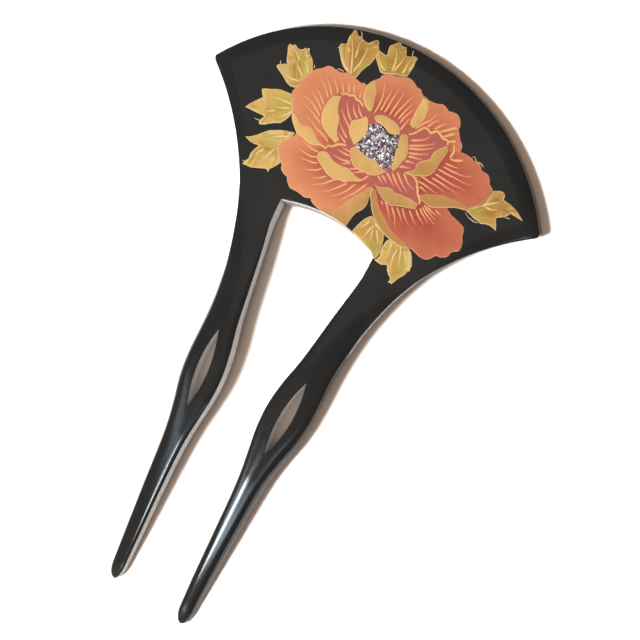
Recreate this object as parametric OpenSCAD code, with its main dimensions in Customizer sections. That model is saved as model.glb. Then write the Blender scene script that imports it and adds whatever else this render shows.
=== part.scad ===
// Two-pronged hairpin with a fan-shaped head, lacquered black and painted with a peony.
// It lies on its back: X across the head, Y from the prong tips to the rim, Z up.
// The origin is under the middle of the pin, on the table it rests on.

/* [Head] */
// Radius of the arc of the rim
rim_r = 50.5; // [49:0.1:53]
// Width of the head from corner to corner, before the corners are rounded off
head_w = 83.8; // [81:0.1:86]
// Height of the head from the fork's corners to the top of the rim
head_h = 43.8; // [43:0.1:45]
// Depth of the hollow of each flank of the head
flank_dip = 1.7; // [1:0.1:2.4]
// Thickness of the head
plate_t = 3.0; // [2.6:0.1:3.6]
// Width of the soft bevel along the rim
bevel_w = 2.4; // [1.6:0.1:3.2]
// Depth of that bevel at the edge
bevel_d = 0.8; // [0.4:0.1:1.2]
// How much each corner of the head is rounded off
corner_nip = 0.5; // [0.2:0.1:0.8]

/* [Prongs] */
// Length of the prongs below the fork
prong_len = 103.4; // [96:0.2:110]
// Half of the gap between the prongs at the fork
fork_half = 12; // [11:0.1:13]
// Rise of the arch that closes the fork
fork_rise = 2.4; // [1.6:0.1:3]
// Width and depth of the slanted edge along that arch
fork_bevel = 0.9; // [0.4:0.1:1.4]
// Thickness of a prong round its slot
prong_t = 3.4; // [3:0.1:3.8]
// Thickness of a prong at its tip
tip_t = 2.2; // [1.8:0.1:2.6]
// Height of the slow bow that lifts the middle of the pin
bow = 2.0; // [0:0.1:3]
// Length of the almond-shaped slot in each prong
slot_len = 20.4; // [16:0.2:22]
// Width of the slot at its middle
slot_w = 3.0; // [2:0.1:3.4]

/* [Painting] */
// Thickness of the raised lacquer
paint_t = 0.25; // [0.15:0.05:0.4]
// Gap between neighbouring painted pieces
paint_gap = 0.14; // [0.1:0.02:0.2]

/* [Hidden] */
PETALS = 6;
LIPS = 10;
RINGS = 4;
LEAVES = 8;

black_lacquer = [0.06, 0.06, 0.055];
coral_paint = [0.86, 0.45, 0.32];
matte_gold = [0.80, 0.64, 0.30];
leaf_gold = [0.72, 0.60, 0.24];
shell_grit = [0.62, 0.60, 0.66];

total_len = head_h + prong_len;
y_top = total_len / 2;
y_fork = y_top - head_h;
rim_y = y_top - rim_r;
corner_angle = asin(head_w / 2 / rim_r);
corner = [head_w / 2, rim_y + rim_r * cos(corner_angle)];

// The head is a flat slope and the prongs curve down to their tips.
bow_slope = bow / (head_h + pow(prong_len, 2) / (4 * total_len));
bow_fall = bow_slope * total_len / pow(prong_len, 2);

// Columns: share of the prong's length, inner half gap, outer half width,
// share of the way from plate_t to prong_t (0 to 1) or on to tip_t (1 to 2)
prong_rows = [
  [0.000, 12.00, 23.05, 0.0],
  [0.052, 11.90, 20.75, 0.0],
  [0.110, 11.10, 18.80, 0.2],
  [0.168, 10.25, 17.40, 0.6],
  [0.226, 9.45, 16.60, 0.8],
  [0.284, 8.45, 16.20, 1.0],
  [0.342, 7.10, 16.20, 1.0],
  [0.400, 6.25, 16.30, 1.0],
  [0.457, 6.20, 15.90, 1.0],
  [0.515, 6.85, 14.80, 1.0],
  [0.573, 7.60, 13.75, 1.0],
  [0.631, 7.95, 13.20, 1.1],
  [0.747, 8.20, 12.60, 1.3],
  [0.863, 8.30, 12.10, 1.6],
  [0.946, 8.60, 11.75, 1.9],
  [1.000, 9.00, 11.50, 2.0]
];

// Columns: share of the width from the inner edge, and the front and back
// surfaces as shares of the thickness, on a prong and on the flat head
section_rows = [
  [0.00, 0.88, 0.05, 1.00, 0],
  [0.10, 0.97, 0.00, 1.00, 0],
  [0.34, 1.00, 0.00, 1.00, 0],
  [0.60, 0.95, 0.00, 1.00, 0],
  [0.80, 0.84, 0.02, 1.00, 0],
  [0.93, 0.68, 0.10, 1.00, 0],
  [1.00, 0.46, 0.30, 0.97, 0]
];
// Share of the prong's length over which the flat section becomes a rounded one
rounding_share = 0.27;
// Length of the rounded tip of a prong, and how blunt its end is
tip_round = 1.5;
tip_blunt = 0.35;
prong_steps = 34;
arch_steps = 8;
head_steps = 4;

// Place and lean of a slot
slot_x = 11.45;
slot_down = 42.4;
slot_lean = 3.2;

function mix(a, b, t) = a + (b - a) * t;
function clamp01(t) = min(1, max(0, t));
function ease(t) = let (c = clamp01(t)) c * c * (3 - 2 * c);
function polar(a, r) = [r * cos(a), r * sin(a)];

// Cubic curve through the rows of a table, read in column c at key x
function row_before(tab, x, i = 0) =
  (i >= len(tab) - 2 || x < tab[i + 1][0]) ? i : row_before(tab, x, i + 1);
function row_slope(tab, i, c) =
  let (a = max(i - 1, 0), b = min(i + 1, len(tab) - 1))
  (tab[b][c] - tab[a][c]) / (tab[b][0] - tab[a][0]);
function curve(tab, x, c) =
  let (i = row_before(tab, x))
  let (h = tab[i + 1][0] - tab[i][0])
  let (s = (x - tab[i][0]) / h)
  (1 + 2 * s) * pow(1 - s, 2) * tab[i][c]
  + s * pow(1 - s, 2) * h * row_slope(tab, i, c)
  + s * s * (3 - 2 * s) * tab[i + 1][c]
  - s * s * (1 - s) * h * row_slope(tab, i + 1, c);

function lift(y) =
  let (w = max(0, y_fork - y))
  bow_slope * (y_top - y) - bow_fall * w * w;

// Prong: one column of points of a section, from its inner to its outer edge
SECTION = len(section_rows);
function prong_share(i) = sin(90 * i / prong_steps);
function tip_scale(f) =
  let (q = clamp01(1 - (1 - f) * prong_len / tip_round))
  max(tip_blunt, sqrt(1 - q * q));
function prong_thickness(f) =
  let (k = curve(prong_rows, f, 3))
  k < 1 ? mix(plate_t, prong_t, k) : mix(prong_t, tip_t, k - 1);
function prong_point(side, f, row) =
  let (inner = curve(prong_rows, f, 1) + (fork_half - prong_rows[0][1]) * (1 - f))
  let (outer = curve(prong_rows, f, 2))
  let (middle = (inner + outer) / 2)
  let (half = (outer - inner) / 2 * tip_scale(f))
  let (y = y_fork - f * prong_len)
  [side * mix(middle - half, middle + half, section_rows[row][0]), y];
function prong_z(f, row, back) =
  let (r = section_rows[row])
  let (round_share = ease(f / rounding_share))
  let (share = mix(r[back ? 4 : 3], r[back ? 2 : 1], round_share))
  let (t = prong_thickness(f))
  let (even = t * 0.45)
  lift(y_fork - f * prong_len) + even + (share * t - even) * tip_scale(f);

// Head: rows run from the fork to the rim, columns from the left to the right flank.
// The first step is the fork's slanted edge and the last two are the rim's bevel.
COLUMNS = 2 * (SECTION - 1) + arch_steps;
FLAT_ROW = head_steps + 1;
HEAD_ROWS = head_steps + 3;
function fork_x(j) =
  j < SECTION ? -prong_point(1, 0, SECTION - 1 - j)[0]
  : j > COLUMNS - SECTION ? prong_point(1, 0, j - (COLUMNS - SECTION) - 1)[0]
  : mix(-fork_half, fork_half, (j - (SECTION - 1)) / arch_steps);
fork_w = prong_point(1, 0, SECTION - 1)[0];
function fork_y(x) =
  abs(x) < fork_half ? y_fork + fork_rise * (1 - pow(x / fork_half, 2)) : y_fork;
flank = corner - [fork_w, y_fork];
flank_normal = [-flank[1], flank[0]] / norm(flank);
function head_depth(u) = mix(head_h - fork_rise, norm(flank), u * u);
function rim_distance(k) = k <= FLAT_ROW ? bevel_w : (HEAD_ROWS - k) * bevel_w * 0.45;
function head_share(k, u) =
  let (start = fork_bevel / head_depth(u))
  let (reach = 1 - rim_distance(k) / head_depth(u))
  k == 0 ? 0 : k <= FLAT_ROW ? mix(start, reach, (k - 1) / head_steps) : reach;
function head_point(k, j) =
  let (x = fork_x(j))
  let (u = x / fork_w)
  let (t = head_share(k, u))
  let (low = [x, fork_y(x)])
  let (high = [rim_r * sin(u * corner_angle), rim_y + rim_r * cos(u * corner_angle)])
  let (dip = flank_dip * 4 * t * (1 - t) * u * u * flank_normal)
  let (nip = k == HEAD_ROWS && (j == 0 || j == COLUMNS) ? corner_nip : 0)
  mix(low, high, t) + [sign(u) * (dip[0] - nip), dip[1]];
function head_z(k, j, back) =
  let (y = head_point(k, j)[1])
  let (edge = min(j, COLUMNS - j))
  let (rim_drop = k <= FLAT_ROW ? 0 : bevel_d * pow(1 - rim_distance(k) / bevel_w, 2))
  let (flank_share = edge == 0 ? 0.9 : edge == 1 ? 0.25 : 0)
  let (flank_drop = bevel_d * ease((k - 1) / head_steps - 0.2) * flank_share)
  let (fork_drop = k == 0 && edge >= SECTION ? fork_bevel : 0)
  let (first_drop = k == 0 ? plate_t * (1 - section_rows[max(0, SECTION - 1 - edge)][3]) : 0)
  lift(y) + (back ? 0 : plate_t - max(rim_drop, flank_drop, fork_drop, first_drop));

// One closed mesh: each point of the plan has a front (0) and a back (1) vertex
function head_index(k, j, back) = (k * (COLUMNS + 1) + j) * 2 + back;
HEAD_POINTS = (HEAD_ROWS + 1) * (COLUMNS + 1) * 2;
PRONG_POINTS = prong_steps * SECTION * 2;
function prong_index(right, i, s, back) =
  i == 0 ? head_index(0, right ? COLUMNS - SECTION + 1 + s : SECTION - 1 - s, back)
  : HEAD_POINTS + (right ? 0 : PRONG_POINTS) + ((i - 1) * SECTION + s) * 2 + back;
function quad(a, b, c, d) = [[a, b, c], [a, c, d]];
function flip(tris) = [for (f = tris) [f[2], f[1], f[0]]];

head_points = [
  for (k = [0:HEAD_ROWS], j = [0:COLUMNS], back = [0, 1])
    concat(head_point(k, j), head_z(k, j, back == 1))
];
function prong_points(side) = [
  for (i = [1:prong_steps], s = [0:SECTION - 1], back = [0, 1])
    concat(prong_point(side, prong_share(i), s), prong_z(prong_share(i), s, back == 1))
];

head_faces = [
  for (k = [0:HEAD_ROWS - 1], j = [0:COLUMNS - 1])
    each concat(
      quad(head_index(k, j, 0), head_index(k + 1, j, 0),
           head_index(k + 1, j + 1, 0), head_index(k, j + 1, 0)),
      quad(head_index(k, j + 1, 1), head_index(k + 1, j + 1, 1),
           head_index(k + 1, j, 1), head_index(k, j, 1))),
  for (j = [0:COLUMNS - 1])
    each quad(head_index(HEAD_ROWS, j + 1, 0), head_index(HEAD_ROWS, j, 0),
              head_index(HEAD_ROWS, j, 1), head_index(HEAD_ROWS, j + 1, 1)),
  for (j = [SECTION - 1:SECTION + arch_steps - 2])
    each quad(head_index(0, j, 0), head_index(0, j + 1, 0),
              head_index(0, j + 1, 1), head_index(0, j, 1)),
  for (k = [0:HEAD_ROWS - 1])
    each concat(
      quad(head_index(k + 1, 0, 0), head_index(k, 0, 0),
           head_index(k, 0, 1), head_index(k + 1, 0, 1)),
      quad(head_index(k, COLUMNS, 0), head_index(k + 1, COLUMNS, 0),
           head_index(k + 1, COLUMNS, 1), head_index(k, COLUMNS, 1)))
];
function prong_faces(right) = [
  for (i = [0:prong_steps - 1], s = [0:SECTION - 2])
    each concat(
      quad(prong_index(right, i + 1, s, 0), prong_index(right, i, s, 0),
           prong_index(right, i, s + 1, 0), prong_index(right, i + 1, s + 1, 0)),
      quad(prong_index(right, i + 1, s + 1, 1), prong_index(right, i, s + 1, 1),
           prong_index(right, i, s, 1), prong_index(right, i + 1, s, 1))),
  for (i = [0:prong_steps - 1])
    each concat(
      quad(prong_index(right, i, 0, 0), prong_index(right, i + 1, 0, 0),
           prong_index(right, i + 1, 0, 1), prong_index(right, i, 0, 1)),
      quad(prong_index(right, i + 1, SECTION - 1, 0), prong_index(right, i, SECTION - 1, 0),
           prong_index(right, i, SECTION - 1, 1), prong_index(right, i + 1, SECTION - 1, 1))),
  for (s = [0:SECTION - 2])
    each quad(prong_index(right, prong_steps, s, 0), prong_index(right, prong_steps, s + 1, 0),
              prong_index(right, prong_steps, s + 1, 1), prong_index(right, prong_steps, s, 1))
];

// The slot is the almond where two circles overlap
slot_r = (pow(slot_len / 2, 2) + pow(slot_w / 2, 2)) / slot_w;
module slot(side) {
  translate([side * slot_x, y_fork - slot_down, -1])
    rotate([0, 0, -side * slot_lean])
      linear_extrude(height = bow + prong_t + 2)
        intersection() {
          translate([slot_r - slot_w / 2, 0]) circle(r = slot_r, $fn = 180);
          translate([slot_w / 2 - slot_r, 0]) circle(r = slot_r, $fn = 180);
        }
}

module pin_body() {
  color(black_lacquer)
    difference() {
      polyhedron(
        points = concat(head_points, prong_points(1), prong_points(-1)),
        faces = concat(head_faces, prong_faces(true), flip(prong_faces(false))),
        convexity = 6);
      slot(1);
      slot(-1);
    }
}

// The painting lies on the head's sloping front face, round the flower's heart
flower = [1.75, y_top - 21.8];
seat = 0.03;
module on_face() {
  translate([0, y_top, plate_t])
    rotate([-atan(bow_slope), 0, 0])
      translate([flower[0], flower[1] - y_top, seat])
        linear_extrude(height = paint_t)
          children();
}

// Columns of a petal: direction from the heart in degrees, reach in millimetres
petal_rows = [
  [[134, 13.6], [140, 16.2], [147, 18.6], [152, 20.6], [160, 22.1], [168, 22.5],
   [176, 22.6], [184, 21.7], [190, 20.4], [196, 18.9], [200, 17.5]],
  [[70, 13.2], [76, 14.6], [82, 15.2], [88, 15.5], [95, 15.9], [103, 15.9],
   [110, 15.9], [116, 15.3], [122, 13.8]],
  [[24, 18.3], [29, 18.6], [34, 18.2], [38, 18.7], [42, 18.7], [47, 18.6],
   [51, 17.4], [55, 17.3], [60, 16.7], [67, 14.6]],
  [[-25, 13.2], [-20, 14.6], [-15, 17.6], [-10, 21.2], [-7, 23.7], [-3, 24.8],
   [1, 26.1], [5, 26.7], [8, 27.1], [10, 26.0], [12, 25.4], [15, 23.6], [18, 22.1],
   [21, 20.5], [23, 18.9]],
  [[-70, 9.3], [-66, 12.5], [-62, 16.5], [-55, 19.4], [-47, 22.0], [-44, 23.3],
   [-41, 25.0], [-36, 26.7], [-31, 27.5], [-26, 27.5], [-21, 28.1], [-17, 26.5],
   [-14, 25.2], [-12, 20.0]],
  [[201, 18.0], [203, 20.9], [205, 22.6], [209, 23.2], [214, 22.9], [220, 22.6],
   [226, 22.0], [232, 21.8], [237, 20.8], [244, 19.3], [248, 19.4], [254, 19.3],
   [258, 18.0], [263, 15.8], [268, 13.2], [275, 11.0], [284, 9.6], [288, 9.2]]
];
heart_r = 5.9;
petal_step = 3;
lip_step = 4;

// Columns of a gold lip that follows a petal's turned edge round the heart:
// direction, inner reach, outer reach
round_lip_rows = [
  [[154, 13.3, 13.5], [160, 12.8, 14.8], [166, 12.1, 15.4], [175, 10.7, 14.9],
   [184, 10.1, 13.9], [194, 9.4, 12.1], [202, 8.3, 10.6], [207, 7.7, 7.9]],
  [[-9, 9.4, 9.6], [-5, 9.5, 11.6], [0, 9.7, 13.2], [5, 9.9, 13.8], [10, 10.9, 14.2],
   [16, 12.0, 14.8], [21, 13.0, 15.3], [27, 15.3, 15.6]],
  [[-69, 7.3, 7.5], [-62, 7.9, 9.4], [-53, 8.7, 11.7], [-43, 10.8, 13.5],
   [-33, 12.6, 14.9], [-27, 14.0, 15.5], [-24, 15.3, 15.5]],
  [[254, 18.5, 19.3], [260, 16.7, 19.0], [265, 15.2, 18.9], [269, 12.4, 18.9],
   [274, 11.4, 18.6], [279, 10.4, 16.0], [284, 9.8, 13.7], [288, 9.4, 11.5], [290, 9.2, 9.4]],
  [[213, 12.3, 13.9], [220, 11.3, 14.0], [228, 10.4, 13.5], [239, 9.7, 12.4],
   [251, 9.2, 11.1], [265, 8.6, 9.5], [276, 8.0, 8.2]]
];
// Columns of a gold lip that runs outwards: reach, first and last direction
long_lip_rows = [
  [[13.0, 205.5, 206.5], [14.1, 197, 206], [15.7, 192, 204.5], [16.9, 190.8, 202.5],
   [18.9, 189.3, 197], [20.2, 188.3, 191.5], [21.1, 187, 187.8]],
  [[7.2, 132.5, 133.5], [8.4, 129, 137], [9.8, 126, 136.5], [11.9, 121.5, 135.5],
   [13.3, 120.5, 131], [14.0, 120, 122]],
  [[8.1, 57, 57.8], [9.4, 55.8, 64.5], [10.4, 55, 68], [11.7, 57, 71],
   [12.6, 59, 71.5], [13.6, 64, 72], [14.4, 70, 72]],
  [[14.0, -20.5, -19.5], [16.0, -20.5, -11], [18.3, -17, -8], [19.8, -14, -6.7],
   [21.8, -9.6, -6], [23.4, -6.6, -5.8]],
  [[9.9, 289.4, 292.6], [11.1, 291, 298], [12.5, 293.5, 301], [14.7, 296, 305],
   [17.0, 299, 308], [18.3, 301.5, 309.5], [19.7, 305, 311.5], [22.0, 313, 314]]
];

// Columns of the gold ring round the heart: direction, outer reach
ring_rows = [
  [[138, 6.5], [150, 7.3], [162, 7.5], [171, 7.6], [182, 7.5], [191, 7.2], [202, 6.2]],
  [[55, 5.9], [62, 6.3], [70, 6.6], [83, 6.7], [97, 6.7], [109, 6.7], [118, 6.5], [127, 5.9]],
  [[-33, 6.0], [-20, 6.0], [-7, 6.1], [13, 6.5], [30, 6.7], [42, 6.8], [50, 6.4]],
  [[208, 6.0], [220, 6.3], [233, 6.4], [250, 6.4], [278, 6.4], [292, 6.4], [303, 6.3], [311, 5.9]]
];
// Columns of the shell lozenge: direction, reach
shell_rows = [
  [50, 5.1], [73, 3.8], [97, 3.4], [117, 4.0], [136, 5.1], [155, 4.2], [170, 3.9],
  [188, 4.1], [205, 4.8], [233, 3.6], [262, 3.2], [290, 3.9], [315, 5.3], [337, 4.2],
  [360, 3.9], [385, 4.2], [410, 5.1]
];
shell_step = 6;

// Columns of a leaf's lobe: leaf, root x and y from the heart, heading, length, width
lobe_rows = [
  [1, -21.6, 4.0, 138, 8.6, 4.0], [1, -21.6, 4.0, 106, 7.0, 3.4], [1, -21.6, 4.0, 176, 6.8, 3.8],
  [2, -21.0, -1.6, 207, 11.4, 4.4], [2, -21.0, -1.6, 177, 8.4, 4.0], [2, -21.0, -1.6, 229, 8.9, 4.0],
  [3, -18.2, -8.6, 205, 10.6, 4.4], [3, -18.2, -8.6, 228, 12.0, 4.4], [3, -18.2, -8.6, 254, 8.8, 3.6],
  [4, -11.8, 10.4, 143, 7.4, 3.8], [4, -11.8, 10.4, 116, 9.6, 4.4], [4, -11.8, 10.4, 84, 8.6, 4.0],
  [5, -4.3, 14.0, 146, 6.6, 3.6], [5, -4.3, 14.0, 104, 6.9, 4.2], [5, -4.3, 14.0, 61, 6.6, 3.6],
  [6, 24.6, -0.4, 7, 10.6, 4.2], [6, 24.6, -0.4, 41, 6.4, 3.6], [6, 24.6, -0.4, 333, 6.9, 4.2],
  [7, 6.4, -14.0, 240, 7.6, 3.8], [7, 6.4, -14.0, 268, 8.4, 4.6], [7, 6.4, -14.0, 300, 8.8, 4.4],
  [8, 14.4, -15.8, 284, 9.2, 4.2], [8, 14.4, -15.8, 244, 7.4, 3.8], [8, 14.4, -15.8, 316, 6.6, 4.2]
];

// Outline (counter-clockwise) moved outwards by a distance
function side_normal(a, b) = [b[1] - a[1], a[0] - b[0]] / norm(b - a);
function grown(pts, d) = [
  for (i = [0:len(pts) - 1])
    let (p = pts[i])
    let (n1 = side_normal(pts[(i + len(pts) - 1) % len(pts)], p))
    let (n2 = side_normal(p, pts[(i + 1) % len(pts)]))
    p + d * (n1 + n2) / max(0.15, 1 + n1 * n2)
];
function spread(rows, i, steps) = mix(rows[0][0], rows[len(rows) - 1][0], i / steps);
function extent(rows) = rows[len(rows) - 1][0] - rows[0][0];

// Region between the heart and a petal's edge
module petal_shape(rows, grow = 0) {
  steps = ceil(extent(rows) / petal_step);
  outer = [
    for (i = [0:steps])
      let (a = spread(rows, i, steps))
      polar(a, curve(rows, a, 1))
  ];
  inner = [for (i = [4:-1:0]) polar(spread(rows, i, 4), heart_r)];
  polygon(grown(concat(outer, inner), grow));
}

// Region between an inner and an outer reach, over a range of directions
module round_shape(rows, grow = 0) {
  steps = ceil(extent(rows) / lip_step);
  function at(i, c) =
    let (a = spread(rows, i, steps))
    polar(a, curve(rows, a, c));
  far = [for (i = [0:steps]) at(i, 2)];
  near = [for (i = [steps:-1:0]) at(i, 1)];
  polygon(grown(concat(far, near), grow));
}

// Region between two directions, over a range of reach
module long_shape(rows, grow = 0) {
  steps = 10;
  function at(i, c) =
    let (r = spread(rows, i, steps))
    polar(curve(rows, r, c), r);
  right = [for (i = [0:steps]) at(i, 1)];
  left = [for (i = [steps:-1:0]) at(i, 2)];
  polygon(grown(concat(right, left), grow));
}

module lip_shape(i, grow = 0) {
  if (i <= 5)
    round_shape(round_lip_rows[i - 1], grow);
  else
    long_shape(long_lip_rows[i - 6], grow);
}

module ring_shape(i, grow = 0) {
  rows = [
    for (r = ring_rows[i - 1])
      [r[0], curve(shell_rows, r[0] < 50 ? r[0] + 360 : r[0], 1) + paint_gap, r[1]]
  ];
  round_shape(rows, grow);
}

module shell_shape() {
  polygon([for (a = [50:shell_step:409]) polar(a, curve(shell_rows, a, 1))]);
}

// Region of the fork with its slanted edge, where nothing is painted
module fork_shape() {
  reach = fork_half + 0.4;
  clear = fork_bevel + paint_gap / 2;
  polygon([
    for (i = [0:12])
      let (x = mix(-reach, reach, i / 12))
      [x, fork_y(min(fork_half, abs(x))) + clear] - flower,
    [reach, y_fork - 12] - flower,
    [-reach, y_fork - 12] - flower
  ]);
}

// A lobe is the lens where two circles overlap
module lobe_shape(length, width) {
  r = (pow(length / 2, 2) + pow(width / 2, 2)) / width;
  translate([length / 2, 0])
    intersection() {
      translate([0, r - width / 2]) circle(r = r, $fn = 96);
      translate([0, width / 2 - r]) circle(r = r, $fn = 96);
    }
}

module leaf_shape(i) {
  for (row = lobe_rows)
    if (row[0] == i)
      translate([row[1], row[2]])
        rotate([0, 0, row[3]])
          lobe_shape(row[4], row[5]);
}

// The same lobes a little larger, to cut a gap in the next leaf
module leaf_cut(i) {
  for (row = lobe_rows)
    if (row[0] == i)
      translate([row[1], row[2]])
        rotate([0, 0, row[3]])
          translate([-paint_gap, 0])
            lobe_shape(row[4] + 2 * paint_gap, row[5] + 2 * paint_gap);
}

module all_lips(grow) {
  for (i = [1:LIPS]) lip_shape(i, grow);
}

module all_rings(grow) {
  for (i = [1:RINGS]) ring_shape(i, grow);
}

module all_petals(grow) {
  for (rows = petal_rows) petal_shape(rows, grow);
}

module petal(i) {
  color(coral_paint)
    on_face()
      difference() {
        petal_shape(petal_rows[i - 1]);
        all_lips(paint_gap);
        all_rings(paint_gap);
        fork_shape();
        // The fourth petal overlaps the fifth
        if (i == 5) petal_shape(petal_rows[3], paint_gap);
      }
}

module gold_lip(i) {
  color(matte_gold)
    on_face()
      difference() {
        lip_shape(i);
        all_rings(paint_gap);
        fork_shape();
        // Earlier lips lie over later ones
        for (k = [1:1:i - 1]) lip_shape(k, paint_gap);
      }
}

module gold_ring(i) {
  color(matte_gold)
    on_face()
      ring_shape(i);
}

module shell_heart() {
  color(shell_grit)
    on_face()
      shell_shape();
}

module leaf(i) {
  color(leaf_gold)
    on_face()
      difference() {
        intersection() {
          leaf_shape(i);
          translate([0, rim_y] - flower) circle(r = rim_r - bevel_w * 0.5, $fn = 180);
        }
        all_petals(paint_gap);
        all_lips(paint_gap);
        fork_shape();
        // Earlier leaves lie over later ones
        for (k = [1:1:i - 1]) leaf_cut(k);
      }
}

pin_body();
for (i = [1:PETALS]) petal(i);
for (i = [1:LIPS]) gold_lip(i);
for (i = [1:RINGS]) gold_ring(i);
shell_heart();
for (i = [1:LEAVES]) leaf(i);
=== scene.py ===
"""Looks of a two-pronged kanzashi: black lacquer, painted peony, gold leaves, shell heart.

The pin lies on its back in the frame of the solids: X across the head, Y from the prong
tips to the rim, Z up. Shapes are worked out in millimetres and put into the meshes in metres.
"""

import logging
import math
from dataclasses import dataclass, field
from enum import Enum

import bpy
import numpy as np
from mathutils import Matrix, Vector

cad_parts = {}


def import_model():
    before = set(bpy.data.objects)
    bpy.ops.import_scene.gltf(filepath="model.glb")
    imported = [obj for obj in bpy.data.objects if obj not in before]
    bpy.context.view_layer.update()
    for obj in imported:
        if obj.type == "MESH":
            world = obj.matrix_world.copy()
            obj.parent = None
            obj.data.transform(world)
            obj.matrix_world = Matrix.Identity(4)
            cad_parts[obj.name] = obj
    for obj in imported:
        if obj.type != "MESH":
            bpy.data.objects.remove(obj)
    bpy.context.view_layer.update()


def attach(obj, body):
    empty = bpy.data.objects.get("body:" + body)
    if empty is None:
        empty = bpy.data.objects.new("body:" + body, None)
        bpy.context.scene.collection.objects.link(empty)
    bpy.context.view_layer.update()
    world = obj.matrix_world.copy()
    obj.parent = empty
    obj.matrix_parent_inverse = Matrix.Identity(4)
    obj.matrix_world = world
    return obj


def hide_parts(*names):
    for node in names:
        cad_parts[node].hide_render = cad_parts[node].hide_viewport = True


LOG = logging.getLogger("kanzashi")
MM = 0.001
WELD = 1e-4  # mm, points closer than this become one

Triple = tuple[float, float, float]  # a colour, a place or a direction
Line = list[float]  # x and y of each point in turn
Pair = tuple[float, float]
Array = np.ndarray
Values = dict[str, Array]  # arrays by name


class Slot(Enum):
    """Material slots of the record."""

    LACQUER = "black_lacquer"
    CORAL = "coral_paint"
    GOLD = "matte_gold"
    LEAF = "leaf_gold"
    SHELL = "shell_grit"


# ------ curves and grids


def curve(keys: Array, values: Array, at: Array, pull: float = 1.0) -> Array:
    """Smooth curve through table rows.

    Formula: on each interval the cubic with the rows' values at its ends, whose slope at a
    row is that of the chord between the rows on either side of it.

    Args:
        keys: rising keys of the rows.
        values: value of each row; further axes are carried along.
        at: keys at which to read the curve.
        pull: share of the chord's slope; less makes the corners tighter.

    Returns:
        The values at the keys.
    """
    keys, values, at = np.asarray(keys, float), np.asarray(values, float), np.asarray(at, float)
    last = len(keys) - 1
    before, after = np.maximum(np.arange(last + 1) - 1, 0), np.minimum(np.arange(last + 1) + 1, last)
    extra = (1,) * (values.ndim - 1)
    slope = pull * (values[after] - values[before]) / (keys[after] - keys[before]).reshape(-1, *extra)
    i = np.clip(np.searchsorted(keys, at, side="right") - 1, 0, last - 1)
    h = (keys[i + 1] - keys[i]).reshape(*at.shape, *extra)
    s = ((at - keys[i]).reshape(*at.shape, *extra)) / h
    return (
        (1 + 2 * s) * (1 - s) ** 2 * values[i]
        + s * (1 - s) ** 2 * h * slope[i]
        + s * s * (3 - 2 * s) * values[i + 1]
        - s * s * (1 - s) * h * slope[i + 1]
    )


def even(points: Array, count: int, pull: float = 1.0) -> Array:
    """Smooth curve through points, read at even steps along it."""
    keys = np.concatenate([[0.0], np.cumsum(np.linalg.norm(np.diff(points, axis=0), axis=1))])
    return curve(keys, points, np.linspace(0, keys[-1], count), pull)


def ease(t: Array) -> Array:
    """Smooth step from 0 to 1 over t from 0 to 1."""
    c = np.clip(t, 0, 1)
    return c * c * (3 - 2 * c)


def mix(a: Array, b: Array, t: Array) -> Array:
    """Straight blend from a at t = 0 to b at t = 1."""
    return a + (b - a) * t


def near(distance: Array, width: Array) -> Array:
    """Straight fall from 1 at an edge to 0 at a width from it."""
    return np.clip(1 - distance / width, 0, 1)


def rounded(distance: Array, width: Array) -> Array:
    """Rise from 0 at an edge to 1 at a width from it: a quarter ellipse."""
    return np.sqrt(np.maximum(0, 1 - near(distance, width) ** 2))


def distance_to(points: Array, line: Array) -> Array:
    """Distance in the plan from points to a polyline.

    Formula: for each point the least distance to the line's straight parts, where the foot
    on a part is clamped to its ends.

    Args:
        points: array (..., 2).
        line: array (M, 2) of the polyline's corners.

    Returns:
        Array of the points' leading shape.
    """
    start, part = line[:-1], np.diff(line, axis=0)
    keep = np.sum(part * part, axis=1) > 0
    start, part = start[keep], part[keep]
    flat = points.reshape(-1, 2)
    out = []
    for block in np.array_split(flat, max(1, len(flat) // 3000)):
        rel = block[:, None, :] - start[None]
        foot = np.clip(np.sum(rel * part, axis=2) / np.sum(part * part, axis=1), 0, 1)
        gap = rel - foot[..., None] * part
        out.append(np.sqrt(np.min(np.sum(gap * gap, axis=2), axis=1)))
    return np.concatenate(out).reshape(points.shape[:-1])


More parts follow.
